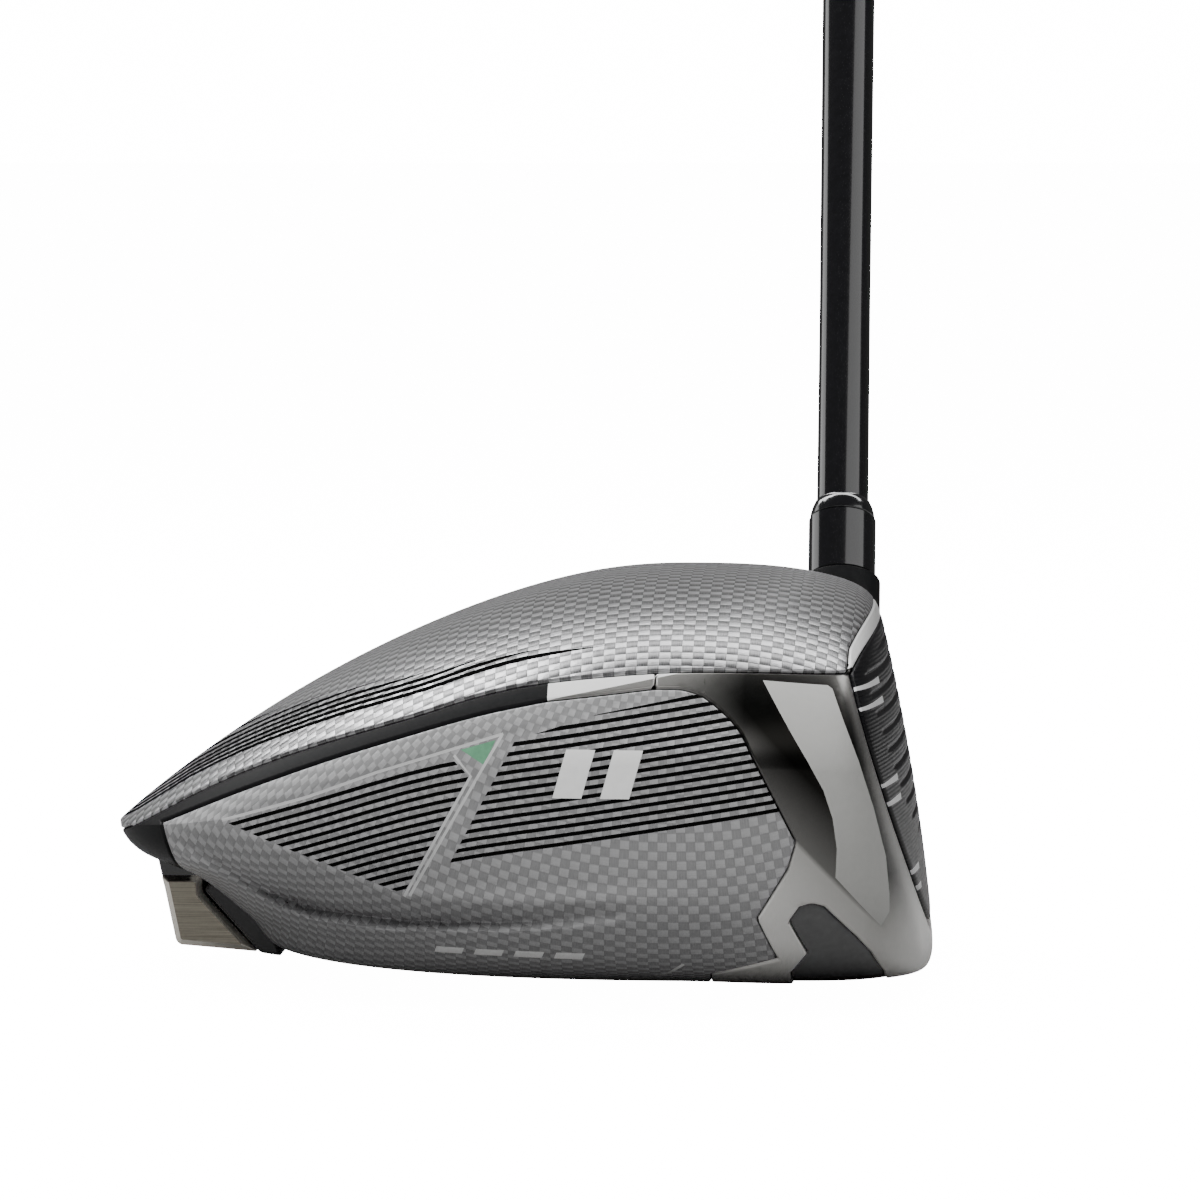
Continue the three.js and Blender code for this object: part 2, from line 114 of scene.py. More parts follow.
def profile(theta, t):
    """Share of the plan radius and height, for t from 0 at the crown's top to 2 under the sole."""
    p, q, rim = (sector_mix(theta, [UPPER[key][k] for key in UPPER]) for k in range(3))
    angle = np.clip(t, 0, 1) * math.pi / 2
    upper_reach = np.sin(angle) ** (2 / p)
    upper_z = rim + (CROWN_TOP - rim) * np.maximum(np.cos(angle), 0) ** (2 / q)
    position = 1 + np.clip(t - 1, 0, 1) * (len(LOWER["rear"]) - 1)
    lower = [catmull_rom(upright_start(LOWER[key]), position) for key in LOWER]
    lower_reach, lower_z = (sector_mix(theta, [part[..., k] for part in lower]) for k in (0, 1))
    return np.where(t <= 1, upper_reach, lower_reach), np.where(t <= 1, upper_z, lower_z)


def face_radius(theta, z):
    c, s = np.cos(theta), np.sin(theta)
    rise = z - FACE_Z
    depth = FACE_X - math.tan(FACE_LOFT) * rise - rise**2 / (2 * ROLL_R) - POLE_X
    curve = np.maximum(s * s / (2 * BULGE_R), 1e-9)
    radius = (np.sqrt(np.maximum(c * c + 4 * curve * depth, 0)) - c) / (2 * curve)
    return np.where(c < 0.02, 1e4, radius)


def smooth_min(a, b, blend):
    h = np.maximum(blend - np.abs(a - b), 0) / blend
    return np.minimum(a, b) - h**3 * blend / 6


def smooth_step(low, high, value):
    x = np.clip((value - low) / (high - low), 0, 1)
    return x * x * (3 - 2 * x)


def form(theta, t):
    """Points of the bare outer form."""
    reach, z = profile(theta, t)
    z = np.maximum(z - SOLE_FLAT, 0)
    radius = np.maximum(smooth_min(reach * plan_radius(theta), face_radius(theta, z), FACE_BLEND), 0)
    return np.stack([POLE_X + radius * np.cos(theta), radius * np.sin(theta), z], -1)


def normals_of(surface, theta, t, step=2e-4):
    """Outward unit normals of a surface by central differences."""
    t = np.clip(t, 3 * step, 2 - 3 * step)
    along = surface(theta + step, t) - surface(theta - step, t)
    down = surface(theta, t + step) - surface(theta, t - step)
    normal = np.cross(down, along)
    return normal / np.maximum(np.linalg.norm(normal, axis=-1, keepdims=True), 1e-12)


# ---- Sculpted detail of the visible surface ----

# The scoop in the skirt: its lower crest and its upper edge, as x and z from the side.
CREST = np.array([(-90, 24.1), (-83, 20.6), (-75, 15.9), (-68, 13.8), (-54, 13.4), (-36, 14.4), (-18, 16.4)])
BROW = np.array([(-90, 25.2), (-80.5, 26.9), (-67, 22.2), (-54, 17.4), (-36, 17.2), (-18, 18.2)])
SCOOP_DEPTH = np.array([(-90, 0), (-82, 2.8), (-70, 4.4), (-54, 3.6), (-36, 2), (-18, 0)])
# The top edge of the striped field, below the shoulder under the ring.
STRIPE_TOP = np.array([
    (-80.6, 27.3), (-67, 31.7), (-56.5, 35.5), (-45.3, 39.3), (-38.6, 41.4), (-24, 44.9), (-8.7, 47.2),
])
STRIPE_LOW = [(-80, 12), (-67, 16.3), (-46.9, 22.6), (-24, 26.7), (2.4, 31.1)]
SHOULDER_DEPTH, SHOULDER_WIDTH = 0.5, 1.6
# Sculpting fades in over these distances from the head's middle, and ends below this height.
SCULPT_FADE = (20, 30)
SCULPT_TOP = 48
SCULPT_SIDEWAYS = 0.8
HOSEL_FLARE, HOSEL_FLARE_REACH = 3.2, 8


def along(table, x):
    return np.interp(x, table[:, 0], table[:, 1])


def axis_distance(points, origin, axis):
    """Distance from an axis, and the station along it."""
    offset = points - origin
    station = offset @ axis
    return np.linalg.norm(offset - station[..., None] * axis, axis=-1), station


def scoop(x, z):
    """Depth of the scoop: a steep lower side below its crest, and a long rise to its upper edge."""
    low, high = along(CREST, x), along(BROW, x)
    width = np.maximum(high - low, 0.5)
    u = (z - low) / width
    falling = np.clip(1 - u, 0, 1) ** 1.25
    rising = 1 - smooth_step(0, 1, (low - z) / 1.5)
    return np.where(z > low, falling, rising) * along(SCOOP_DEPTH, x)


def shoulder(x, z):
    """Depth of the striped field below its top edge."""
    fade = smooth_step(-88, -76, x) * (1 - smooth_step(-24, -4, x))
    below = smooth_step(0, 1, (along(STRIPE_TOP, x) + SHOULDER_WIDTH - z) / SHOULDER_WIDTH)
    above_scoop = smooth_step(0, 1, (z - along(BROW, x)) / 3)
    return SHOULDER_DEPTH * below * above_scoop * fade


def surface(theta, t):
    """The outer form with the scoop, the shoulder and the flare round the hosel."""
    points = form(theta, t)
    x, y, z = points[..., 0], points[..., 1], points[..., 2]
    depth = (scoop(x, z) + shoulder(x, z)) * smooth_step(*SCULPT_FADE, np.abs(y)) * (z < SCULPT_TOP)
    to_pole = SCULPT_SIDEWAYS - 1
    sideways = to_pole * np.sin(theta) - SCULPT_SIDEWAYS * np.sign(y)
    inward = np.stack([to_pole * np.cos(theta), sideways, np.zeros_like(x)], -1)
    distance, station = axis_distance(points, HOSEL_FOOT, HOSEL_AXIS)
    flare = (1 - smooth_step(HOSEL_R - 1, HOSEL_R + HOSEL_FLARE_REACH, distance)) ** 2 * HOSEL_FLARE
    flare = np.where((station > 30) & (t < 1.3), flare, 0)
    return points + inward * depth[..., None] + HOSEL_AXIS * flare[..., None]


# ---- Panels cut from the surface ----
# A sheet is a triangle mesh over (theta, t). Fields over x, y and z cut it along their zero lines.

SIDE_VIEW, FRONT_VIEW = [0, 2], [1, 2]
# A painted outline's side cuts the faces up to this far from it, in millimetres.
PAINT_MARGIN = 2.0


class Sheet:
    """Triangles over the head's parameters, with a paint number for each triangle."""

    def __init__(self, columns, rows, t_range=(0, 2), theta_range=(0, 2 * math.pi)):
        theta = np.linspace(*theta_range, columns + 1)
        t = np.linspace(*t_range, rows + 1)
        self.params = np.stack(np.meshgrid(theta, t, indexing="ij"), -1).reshape(-1, 2)
        self.points = surface(*self.params.T)
        i, j = np.meshgrid(np.arange(columns), np.arange(rows), indexing="ij")
        a = (i * (rows + 1) + j).ravel()
        b, c, d = a + rows + 1, a + 1, a + rows + 2
        self.faces = np.concatenate([np.stack([a, c, b], -1), np.stack([b, c, d], -1)])
        self.paint = np.zeros(len(self.faces), int)

    def centres(self):
        return self.points[self.faces].mean(1)

    def cut(self, values, chosen=None, near=None):
        """Adds vertices where the values change sign, and returns the values for all vertices.
        chosen limits the faces that are looked at, and near the places that are cut."""
        picked = np.arange(len(self.faces)) if chosen is None else np.flatnonzero(chosen)
        faces, count = self.faces[picked], len(self.params)
        ends = np.sort(np.stack([faces, np.roll(faces, -1, 1)], -1), -1)
        crossing = (values[ends[..., 0]] > 0) != (values[ends[..., 1]] > 0)
        keys, index = np.unique(ends[crossing] @ [count, 1], return_inverse=True)
        low, high = keys // count, keys % count
        share = values[low] / (values[low] - values[high])
        params = self.params[low] * (1 - share[:, None]) + self.params[high] * share[:, None]
        points = surface(*params.T)
        used = (share > 1e-5) & (share < 1 - 1e-5)
        if near is not None:
            used &= near(points)
        number = np.where(used, count + np.cumsum(used) - 1, -1)
        fresh = np.full(faces.shape, -1)
        fresh[crossing] = number[index.reshape(-1)]
        self.params = np.concatenate([self.params, params[used]])
        self.points = np.concatenate([self.points, points[used]])
        cuts = (fresh >= 0).sum(1)
        self.divide(picked, fresh, cuts)
        return np.concatenate([values, np.zeros(used.sum())])

    def divide(self, picked, fresh, cuts):
        """Replaces faces that have one or two cut edges by two or three faces."""
        parts, paints = [], []
        one, two = np.flatnonzero(cuts == 1), np.flatnonzero(cuts == 2)
        turn = fresh[one].argmax(1)[:, None] + np.arange(3)
        a, b, c = np.take_along_axis(self.faces[picked[one]], turn % 3, 1).T
        cut = fresh[one].max(1)
        for corners in ((a, cut, c), (cut, b, c)):
            parts.append(np.stack(corners, -1))
            paints.append(self.paint[picked[one]])
        turn = (fresh[two].argmin(1)[:, None] + np.arange(3)) % 3
        b, c, a = np.take_along_axis(self.faces[picked[two]], turn, 1).T
        _, from_c, from_b = np.take_along_axis(fresh[two], turn, 1).T
        for corners in ((a, from_b, from_c), (from_b, b, c), (from_b, c, from_c)):
            parts.append(np.stack(corners, -1))
            paints.append(self.paint[picked[two]])
        kept = np.ones(len(self.faces), bool)
        kept[picked[(cuts > 0) & (cuts < 3)]] = False
        self.faces = np.concatenate([self.faces[kept], *parts])
        self.paint = np.concatenate([self.paint[kept], *paints])

    def keep_inside(self, field, inset):
        """Cuts the sheet to where the field is below -inset, with rows of vertices for a round edge."""
        self.cut(field(*self.points.T) + inset)
        inside = field(*self.centres().T) < -inset
        self.faces, self.paint = self.faces[inside], self.paint[inside]
        for row in EDGE_ROWS:
            self.cut(field(*self.points.T) + inset + row * EDGE_R)

    def trimmed(self):
        """Parameters, points, faces and paint, without doubled and unused vertices and empty faces."""
        _, first, place = np.unique(np.round(self.points, 4), axis=0, return_index=True, return_inverse=True)
        faces = first[place.reshape(-1)][self.faces]
        a, b, c = faces.T
        whole = (a != b) & (b != c) & (a != c)
        used, faces = np.unique(faces[whole], return_inverse=True)
        return self.params[used], self.points[used], faces.reshape(-1, 3), self.paint[whole]

    def colour(self, outline, number, side=None, view=SIDE_VIEW):
        """Paints inside an outline in a view, cut cleanly along its sides."""
        corners = np.array(outline, float)
        margin = PAINT_MARGIN
        for start, end in zip(corners, np.roll(corners, -1, 0)):
            length = np.linalg.norm(end - start)
            if length < 1e-6:
                continue
            ahead = (end - start) / length
            across = np.array([-ahead[1], ahead[0]])
            place = self.points[:, view]
            low, high = np.minimum(start, end) - 2 * margin, np.maximum(start, end) + 2 * margin
            close = ((place > low) & (place < high)).all(1)[self.faces].any(1)

            def near(points):
                station = (points[:, view] - start) @ ahead
                return (station > -margin) & (station < length + margin)

            self.cut((place - start) @ across, close, near)
        centres = self.centres()
        inside = polygon_distance(corners, centres[:, view]) < 0
        if side is not None:
            inside &= centres[:, 1] * side > 0
        self.paint[inside] = number


def polygon_distance(points, place):
    """Signed distance of flat places to a closed outline: negative inside."""
    inside = np.zeros(len(place), bool)
    nearest = np.full(len(place), np.inf)
    for start, end in zip(points, np.roll(points, -1, 0)):
        step = end - start
        share = np.clip(((place - start) @ step) / max(step @ step, 1e-12), 0, 1)
        nearest = np.minimum(nearest, np.linalg.norm(place - start - share[:, None] * step, axis=1))
        if step[1] != 0:
            across = (start[1] > place[:, 1]) != (end[1] > place[:, 1])
            at_x = start[0] + (place[:, 1] - start[1]) * step[0] / step[1]
            inside ^= across & (place[:, 0] < at_x)
    return np.where(inside, -nearest, nearest)


def outline_field(outline, view=SIDE_VIEW):
    """Signed distance to a closed outline in a view: negative inside."""
    points = np.array(outline, float)
    return lambda *place: polygon_distance(points, np.stack([place[k] for k in view], -1))


def stroke(points, width):
    """The outline of a painted line of that width along side-view points."""
    line = np.array(points, float)
    ahead = np.gradient(line, axis=0)
    ahead /= np.linalg.norm(ahead, axis=1, keepdims=True)
    across = np.stack([-ahead[:, 1], ahead[:, 0]], -1) * width / 2
    return np.concatenate([line + across, (line - across)[::-1]])


def both(*fields):
    return lambda x, y, z: np.maximum.reduce([field(x, y, z) for field in fields])


def outside(field):
    return lambda x, y, z: -field(x, y, z)


def round_hole(centre, axis, radius):
    """Negative inside a straight round hole through the surface."""
    axis = np.array(axis, float)
    return lambda *place: axis_distance(np.stack(place, -1), centre, axis)[0] - radius


# ---- Sheets and turned forms to Blender meshes ----

# Steps along a meridian for its length.
UNROLL_STEPS = 32
# A round takes no more than this share of the sides beside its corner.
ROUND_SHARE, ROUND_STEPS = 0.45, 3
SEGMENTS = 96
# Edges of turned forms and of solid blocks stay sharp above these angles, in degrees.
TURNED_SHARP, BLOCK_SHARP = 35, 25


def new_object(name, points, faces, materials, paint=None, normals=None, uv=None):
    """A mesh object from millimetre points; normals and uv are given for each face corner."""
    mesh = bpy.data.meshes.new(name)
    mesh.from_pydata((np.asarray(points) * MM).tolist(), [], [tuple(f) for f in faces])
    for material in materials:
        mesh.materials.append(material)
    if paint is not None:
        mesh.polygons.foreach_set("material_index", np.asarray(paint, np.int32))
    for key, flat in (uv or {}).items():
        mesh.uv_layers.new(name=key).data.foreach_set("uv", np.asarray(flat, np.float32).ravel())
    mesh.polygons.foreach_set("use_smooth", np.ones(len(mesh.polygons), bool))
    if normals is not None:
        mesh.normals_split_custom_set(np.asarray(normals, np.float32).tolist())
    mesh.validate()
    obj = bpy.data.objects.new(name, mesh)
    bpy.context.scene.collection.objects.link(obj)
    return obj


def unrolled(params, from_sole):
    """Flat cloth coordinates in millimetres: length down the meridian, laid out by direction."""
    theta, t = params.T
    start = np.where(from_sole, 2.0, 0.0)
    stops = start + (t - start) * np.linspace(0, 1, UNROLL_STEPS + 1)[:, None]
    path = form(np.broadcast_to(theta, stops.shape), stops)
    length = np.linalg.norm(np.diff(path, axis=0), axis=-1).sum(0)
    return np.stack([length * np.cos(theta), length * np.sin(theta)], -1)


def tangent_slope(field, points, normals, step=0.02):
    """Unit direction along the surface in which the field grows."""
    slope = np.stack([
        field(*(points + step * axis).T) - field(*(points - step * axis).T) for axis in np.eye(3)
    ], -1)
    slope -= (slope * normals).sum(1)[:, None] * normals
    return slope / np.maximum(np.linalg.norm(slope, axis=1, keepdims=True), 1e-9)


def rounded_edge(field, points, normals, inset):
    """How deep each point lies below the surface near the panel's edge, its normal and the way out."""
    to_edge = np.clip(-inset - field(*points.T), 0, None)
    lean = np.clip(1 - to_edge / EDGE_R, 0, 1)
    drop = EDGE_R * (1 - np.sqrt(1 - lean**2))
    outward = tangent_slope(field, points, normals)
    lean = (EDGE_LEAN * lean)[:, None]
    return drop, normals * np.sqrt(1 - lean**2) + outward * lean, outward


def border_walls(faces, count):
    """Triangles from a sheet's border to its copy, whose vertices are numbered from the count."""
    edges = np.concatenate([faces[:, [0, 1]], faces[:, [1, 2]], faces[:, [2, 0]]])
    keys = edges.min(1) * count + edges.max(1)
    _, first, uses = np.unique(keys, return_index=True, return_counts=True)
    a, b = edges[first[uses == 1]].T
    return [np.stack([b, a, a + count], -1), np.stack([b, a + count, b + count], -1)]


def no_lines(points):
    return np.zeros((len(points), 2))


def panel(name, sheet, field, materials, thickness=PANEL_WALL, sink=0.0, inset=SEAM_INSET,
          paints=(), view=SIDE_VIEW, relief=None, from_sole=False, lines=no_lines):
    """A closed shell cut from the head's surface where the field is negative, with rounded edges.
    Each paint is an outline, the number of its material and the side of the head it is on."""
    sheet.keep_inside(field, inset)
    for outline, number, side in paints:
        sheet.colour(outline, number, side, view)
    params, points, faces, paint = sheet.trimmed()
    normals = normals_of(surface, *params.T)
    drop, soft, outward = rounded_edge(field, points, normals, inset)
    if relief is not None:
        drop, soft = relief(points, drop, soft)
    top = points - normals * (drop + sink)[:, None]
    bottom = points - normals * (thickness + sink)
    walls = border_walls(faces, len(points))
    rest = np.concatenate([faces[:, ::-1] + len(points), *walls])
    all_faces = np.concatenate([faces, rest])
    wall_normals = np.concatenate([outward, outward])
    corner_normals = np.concatenate([
        soft[faces].reshape(-1, 3), -normals[faces[:, ::-1]].reshape(-1, 3),
        *(wall_normals[wall].reshape(-1, 3) for wall in walls),
    ])
    layers = {"weave": unrolled(params, from_sole), "lines": lines(points)}
    uv = {key: np.concatenate([flat, flat])[all_faces].reshape(-1, 2) for key, flat in layers.items()}
    numbers = np.concatenate([paint, np.zeros(len(rest), int)])
    return new_object(name, np.concatenate([top, bottom]), all_faces, materials, numbers,
                      corner_normals, uv)


def axis_frame(origin, axis):
    """The origin, and rotation rows whose third direction is the axis."""
    z = np.array(axis, float)
    z /= np.linalg.norm(z)
    x = np.array([1.0, 0, 0]) if abs(z[0]) < 0.9 else np.array([0, 1.0, 0])
    x -= (x @ z) * z
    x /= np.linalg.norm(x)
    return np.array(origin, float), np.stack([x, np.cross(z, x), z])


def turned(name, place, profile, materials, sides=(), relief=None):
    """A closed form turned about an axis from [radius, station] points, as a loop of rings.
    sides numbers the rings that are hexagons, and relief(angle, radius, station) adds to the radius."""
    origin, rows = place
    angle = np.arange(SEGMENTS) / SEGMENTS * 2 * math.pi
    rings = []
    for number, (radius, station) in enumerate(profile):
        shape = np.full(SEGMENTS, float(radius))
        if number in sides:
            sector = 2 * math.pi / 6
            shape = shape / np.cos((angle + sector / 2) % sector - sector / 2)
        if relief is not None:
            shape = shape + relief(angle, radius, station)
        rings.append(np.stack([shape * np.cos(angle), shape * np.sin(angle), np.full(SEGMENTS, station)], -1))
    on_axis = profile[0][0] == 0 and profile[-1][0] == 0
    faces = ring_faces(len(profile), SEGMENTS, not on_axis)
    obj = new_object(name, origin + np.concatenate(rings) @ rows, faces, materials)
    weld = obj.modifiers.new("weld", "WELD")
    weld.merge_threshold = 1e-6
    apply_modifiers(obj, TURNED_SHARP)
    return obj


def ring_faces(rings, segments, closed):
    """Four-sided faces between each ring of points and the next, back to the first where closed."""
    ring, place = np.divmod(np.arange((rings if closed else rings - 1) * segments), segments)
    next_ring, next_place = (ring + 1) % rings, (place + 1) % segments
    starts = np.stack([ring, ring, next_ring, next_ring], -1) * segments
    return (starts + np.stack([place, next_place, next_place, place], -1)).tolist()


def apply_modifiers(obj, sharp):
    """Bakes the modifiers, points the faces outward and marks edges sharper than the angle."""
    view = bpy.context.evaluated_depsgraph_get()
    mesh = bpy.data.meshes.new_from_object(obj.evaluated_get(view), depsgraph=view)
    obj.modifiers.clear()
    form = bmesh.new()
    form.from_mesh(mesh)
    bmesh.ops.recalc_face_normals(form, faces=form.faces)
    form.to_mesh(mesh)
    form.free()
    obj.data = mesh
    mesh.set_sharp_from_angle(angle=math.radians(sharp))


def rounded(corners, radius):
    """A closed outline with its corners rounded, apart from those on the axis."""
    points = np.array(corners, float)
    result = []
    for k, point in enumerate(points):
        before, after = points[k - 1], points[(k + 1) % len(points)]
        if point[0] == 0:
            result.append(tuple(point))
            continue
        lengths = np.linalg.norm([before - point, after - point], axis=1)
        reach = min(radius, *(lengths * ROUND_SHARE))
        start = point + (before - point) / lengths[0] * reach
        end = point + (after - point) / lengths[1] * reach
        for share in np.linspace(0, 1, ROUND_STEPS + 1):
            mid = (1 - share) ** 2 * start + 2 * share * (1 - share) * point + share**2 * end
            result.append(tuple(mid))
    return result


def shrunk(outline, inset):
    """A closed outline moved inward by the inset."""
    points = np.array(outline, float)
    ahead = np.roll(points, -1, 0) - points
    ahead /= np.linalg.norm(ahead, axis=1, keepdims=True)
    inward = np.stack([-ahead[:, 1], ahead[:, 0]], -1)
    area = np.sum(points[:, 0] * np.roll(points[:, 1], -1) - points[:, 1] * np.roll(points[:, 0], -1))
    bisector = (inward + np.roll(inward, 1, 0)) * np.sign(area)
    bisector /= np.sum(bisector**2, 1, keepdims=True) / 2
    return points + bisector * inset


def prism(name, corners, radius, half_width, bevel, materials):
    """A solid with a side-view outline and bevelled ends, across the head's middle."""
    inner = half_width - bevel
    rings = []
    for y, inset in ((-half_width, bevel), (-inner, 0), (inner, 0), (half_width, bevel)):
        ring = np.array(rounded(shrunk(corners, inset), radius))
        rings.append(np.stack([ring[:, 0], np.full(len(ring), y), ring[:, 1]], -1))
    count = len(rings[0])
    faces = ring_faces(4, count, False)
    faces += [list(range(count)), list(range(3 * count, 4 * count))]
    obj = new_object(name, np.concatenate(rings), faces, materials)
    apply_modifiers(obj, BLOCK_SHARP)
    return obj


def drilled(obj, place, profile):
    """Takes a turned shape out of an object."""
    cutter = turned("cutter", place, profile, [])
    hole = obj.modifiers.new("hole", "BOOLEAN")
    hole.object = cutter
    apply_modifiers(obj, BLOCK_SHARP)
    bpy.data.objects.remove(cutter)
    return obj


def finish_piece(obj, body, slot, *nodes):
    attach(obj, body)
    if nodes:
        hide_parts(*nodes)


# ---- Materials ----

# The crease across the body's side, from the sole panel down to the inlay. The painted shade on the body's
# metal is dark over it and light under it.
CREASE = (4.5, 26.8)
CREASE_SLOPE = 1.1


class Graph:
    """A material's node tree, with short calls for the nodes used here."""

    def __init__(self, name, color, roughness, metallic=0.0):
        self.material = bpy.data.materials.new(name)
        self.material.use_nodes = True
        self.tree = self.material.node_tree
        self.shader = self.tree.nodes["Principled BSDF"]
        self.set("Base Color", (*color, 1))
        self.set("Roughness", roughness)
        self.set("Metallic", metallic)

    def set(self, socket, value):
        self.shader.inputs[socket].default_value = value

    def coat(self, weight, roughness):
        self.set("Coat Weight", weight)
        self.set("Coat Roughness", roughness)

    def wire(self, socket, source):
        self.tree.links.new(source, self.shader.inputs[socket])

    def put(self, node, index, value):
        socket = node.inputs[index]
        if isinstance(value, bpy.types.NodeSocket):
            self.tree.links.new(value, socket)
        else:
            socket.default_value = value

    def fill(self, node, inputs):
        for key, value in inputs.items():
            self.put(node, key, value)
        return node.outputs

    def add(self, kind, inputs):
        """The outputs of a new node whose inputs are values or other nodes' outputs."""
        return self.fill(self.tree.nodes.new(kind), inputs)

    def math(self, operation, *values):
        node = self.tree.nodes.new("ShaderNodeMath")
        node.operation = operation
        return self.fill(node, dict(enumerate(values)))[0]

    def scaled(self, vector, scale):
        return self.add("ShaderNodeMapping", {"Scale": scale, "Vector": vector})[0]

    def place(self, scale=(1, 1, 1)):
        """Object coordinates in millimetres, times the scale."""
        source = self.add("ShaderNodeTexCoord", {})["Object"]
        return self.scaled(source, [value / MM for value in scale])

    def layer(self, name, scale=(1, 1, 1)):
        """A coordinate layer of the mesh, times the scale."""
        source = self.tree.nodes.new("ShaderNodeUVMap")
        source.uv_map = name
        return self.scaled(source.outputs[0], scale)

    def split(self, vector):
        return self.add("ShaderNodeSeparateXYZ", {0: vector})

    def noise(self, vector, scale, detail=3.0):
        return self.add("ShaderNodeTexNoise", {"Scale": scale, "Detail": detail, "Vector": vector})[0]

    def ramp_number(self, value, low, high, start, end):
        """A number from low to high as the value goes from start to end."""
        return self.add("ShaderNodeMapRange", dict(enumerate((value, start, end, low, high))))[0]

    def ramp(self, value, low, high, start=0.0, end=1.0):
        """A colour between low and high as the value goes from start to end."""
        mix = self.tree.nodes.new("ShaderNodeMix")
        mix.data_type = "RGBA"
        ends = [color if isinstance(color, bpy.types.NodeSocket) else (*color, 1) for color in (low, high)]
        share = self.ramp_number(value, 0, 1, start, end)
        return self.fill(mix, {0: share, 6: ends[0], 7: ends[1]})[2]

    def choose(self, factor, low, high):
        """The low number where the factor is 0 and the high number where it is 1."""
        return self.add("ShaderNodeMix", {0: factor, 2: low, 3: high})[0]

    def span(self, value, low, high):
        """A number from low to high as the value goes from 0 to 1."""
        return self.math("MULTIPLY_ADD", value, high - low, low)

    def mottle(self, pattern, colors, roughness):
        """Colour and roughness that vary with the pattern, each between two values."""
        self.wire("Base Color", self.ramp(pattern, *colors, 0.3, 0.7))
        self.wire("Roughness", self.span(pattern, *roughness))

    def bump(self, height, distance):
        """Relief whose height of 1 stands the distance, in millimetres."""
        relief = self.add("ShaderNodeBump", {"Distance": distance * MM, "Height": height})[0]
        self.wire("Normal", relief)


def shades(color, spread):
    """A darker and a lighter colour round a colour."""
    return [value * (1 - spread) for value in color], [min(value * (1 + spread), 1) for value in color]


SATIN_MOTTLE, SATIN_RELIEF = 0.8, 4.8


def satin(name, color, roughness, metallic=0.0, grain=0.06, coat=0.0, bump=0.01, gloss=0.5):
    """A plain finish with slight mottling, uneven gloss and fine relief."""
    graph = Graph(name, color, roughness, metallic)
    noise = graph.noise(graph.place(), SATIN_MOTTLE, 5)
    graph.mottle(noise, shades(color, grain), (roughness * 0.88, min(roughness * 1.12, 1)))
    graph.bump(graph.noise(graph.place(), SATIN_RELIEF, 2), bump)
    graph.set("Specular IOR Level", gloss)
    if coat:
        graph.coat(coat, 0.06)
    return graph.material


def brushed(name, color, roughness, scale):
    """Metal brushed along the direction in which the scale is small."""
    graph = Graph(name, color, roughness, 1.0)
    lines = graph.noise(graph.place(scale), 1.0, 6)
    graph.mottle(lines, shades(color, 0.2), (roughness * 0.75, roughness * 1.25))
    graph.bump(lines, 0.012)
    return graph.material


def wave(graph, value, power):
    """Half a sine wave over each whole step of the value, sharpened or flattened by the power."""
    arch = graph.math("SINE", graph.math("MULTIPLY", value, math.pi))
    return graph.math("POWER", graph.math("MAXIMUM", arch, 0.0001), power)


def weave(graph, tow):
    """Which of the two tows is on top, how far across and along it a place is, and its fibres."""
    u, v, _ = graph.split(graph.layer("weave", (1 / tow[0], 1 / tow[1], 1)))
    over = graph.math("FLOORED_MODULO", graph.math("ADD", graph.math("FLOOR", u), graph.math("FLOOR", v)), 2)
    run_u, run_v = graph.math("FRACT", u), graph.math("FRACT", v)
    across = wave(graph, graph.choose(over, run_u, run_v), 0.22)
    ahead = graph.choose(over, run_v, run_u)
    fibres_u = graph.noise(graph.layer("weave", (0.35, 9, 1)), 1.0, 2)
    fibres_v = graph.noise(graph.layer("weave", (9, 0.35, 1)), 1.0, 2)
    return over, across, ahead, graph.choose(over, fibres_v, fibres_u)


def printed_lines(graph):
    """1 on the lines printed on the cloth, and 0 between them."""
    number, half_width, _ = graph.split(graph.layer("lines"))
    from_line = graph.math("ABSOLUTE", graph.math("SUBTRACT", number, graph.math("ROUND", number)))
    return graph.math("LESS_THAN", from_line, half_width)


def carbon(name, tow, light, dark, metallic, roughness, depth, ink=False):
    """Plain-woven carbon with a tow's two widths in mm, and printed lines where ink is set. The weave pattern
    is real; its colour also carries painted sheen: tows one way are lighter than tows the other way, and each
    grows lighter along its length.
    """
    graph = Graph(name, light, roughness, metallic)
    over, across, ahead, fibres = weave(graph, tow)
    # Painted sheen: tows on top one way are lighter, and each tow grows lighter along its length.
    painted_tow_sheen = graph.math("MULTIPLY_ADD", ahead, 0.16, graph.math("MULTIPLY", over, 0.5))
    shade = graph.math("ADD", painted_tow_sheen, graph.span(fibres, -0.2, 0.35))
    shade = graph.math("MULTIPLY", shade, graph.ramp_number(across, 0.35, 1, 0.55, 0.85))
    color = graph.ramp(shade, dark, light, 0, 0.8)
    if ink:
        printed = printed_lines(graph)
        color = graph.ramp(printed, color, (0.003, 0.003, 0.003))
        graph.wire("Metallic", graph.span(printed, metallic, 0))
    graph.wire("Base Color", color)
    graph.wire("Roughness", graph.span(fibres, roughness * 0.8, roughness * 1.25))
    height = graph.math("MULTIPLY", across, graph.span(wave(graph, ahead, 1), 0.45, 1))
    graph.bump(graph.math("MULTIPLY_ADD", fibres, 0.1, height), depth)
    graph.set("Specular IOR Level", 0)
    return graph.material


def rubber_grip():
    """Moulded rubber with fine grain."""
    graph = Graph("grip_rubber_looks", (0.012, 0.012, 0.013), 0.72)
    noise = graph.noise(graph.place(), 1.6, 6)
    graph.mottle(noise, ((0.009, 0.009, 0.01), (0.022, 0.022, 0.023)), (0.6, 0.85))
    graph.bump(noise, 0.05)
    return graph.material


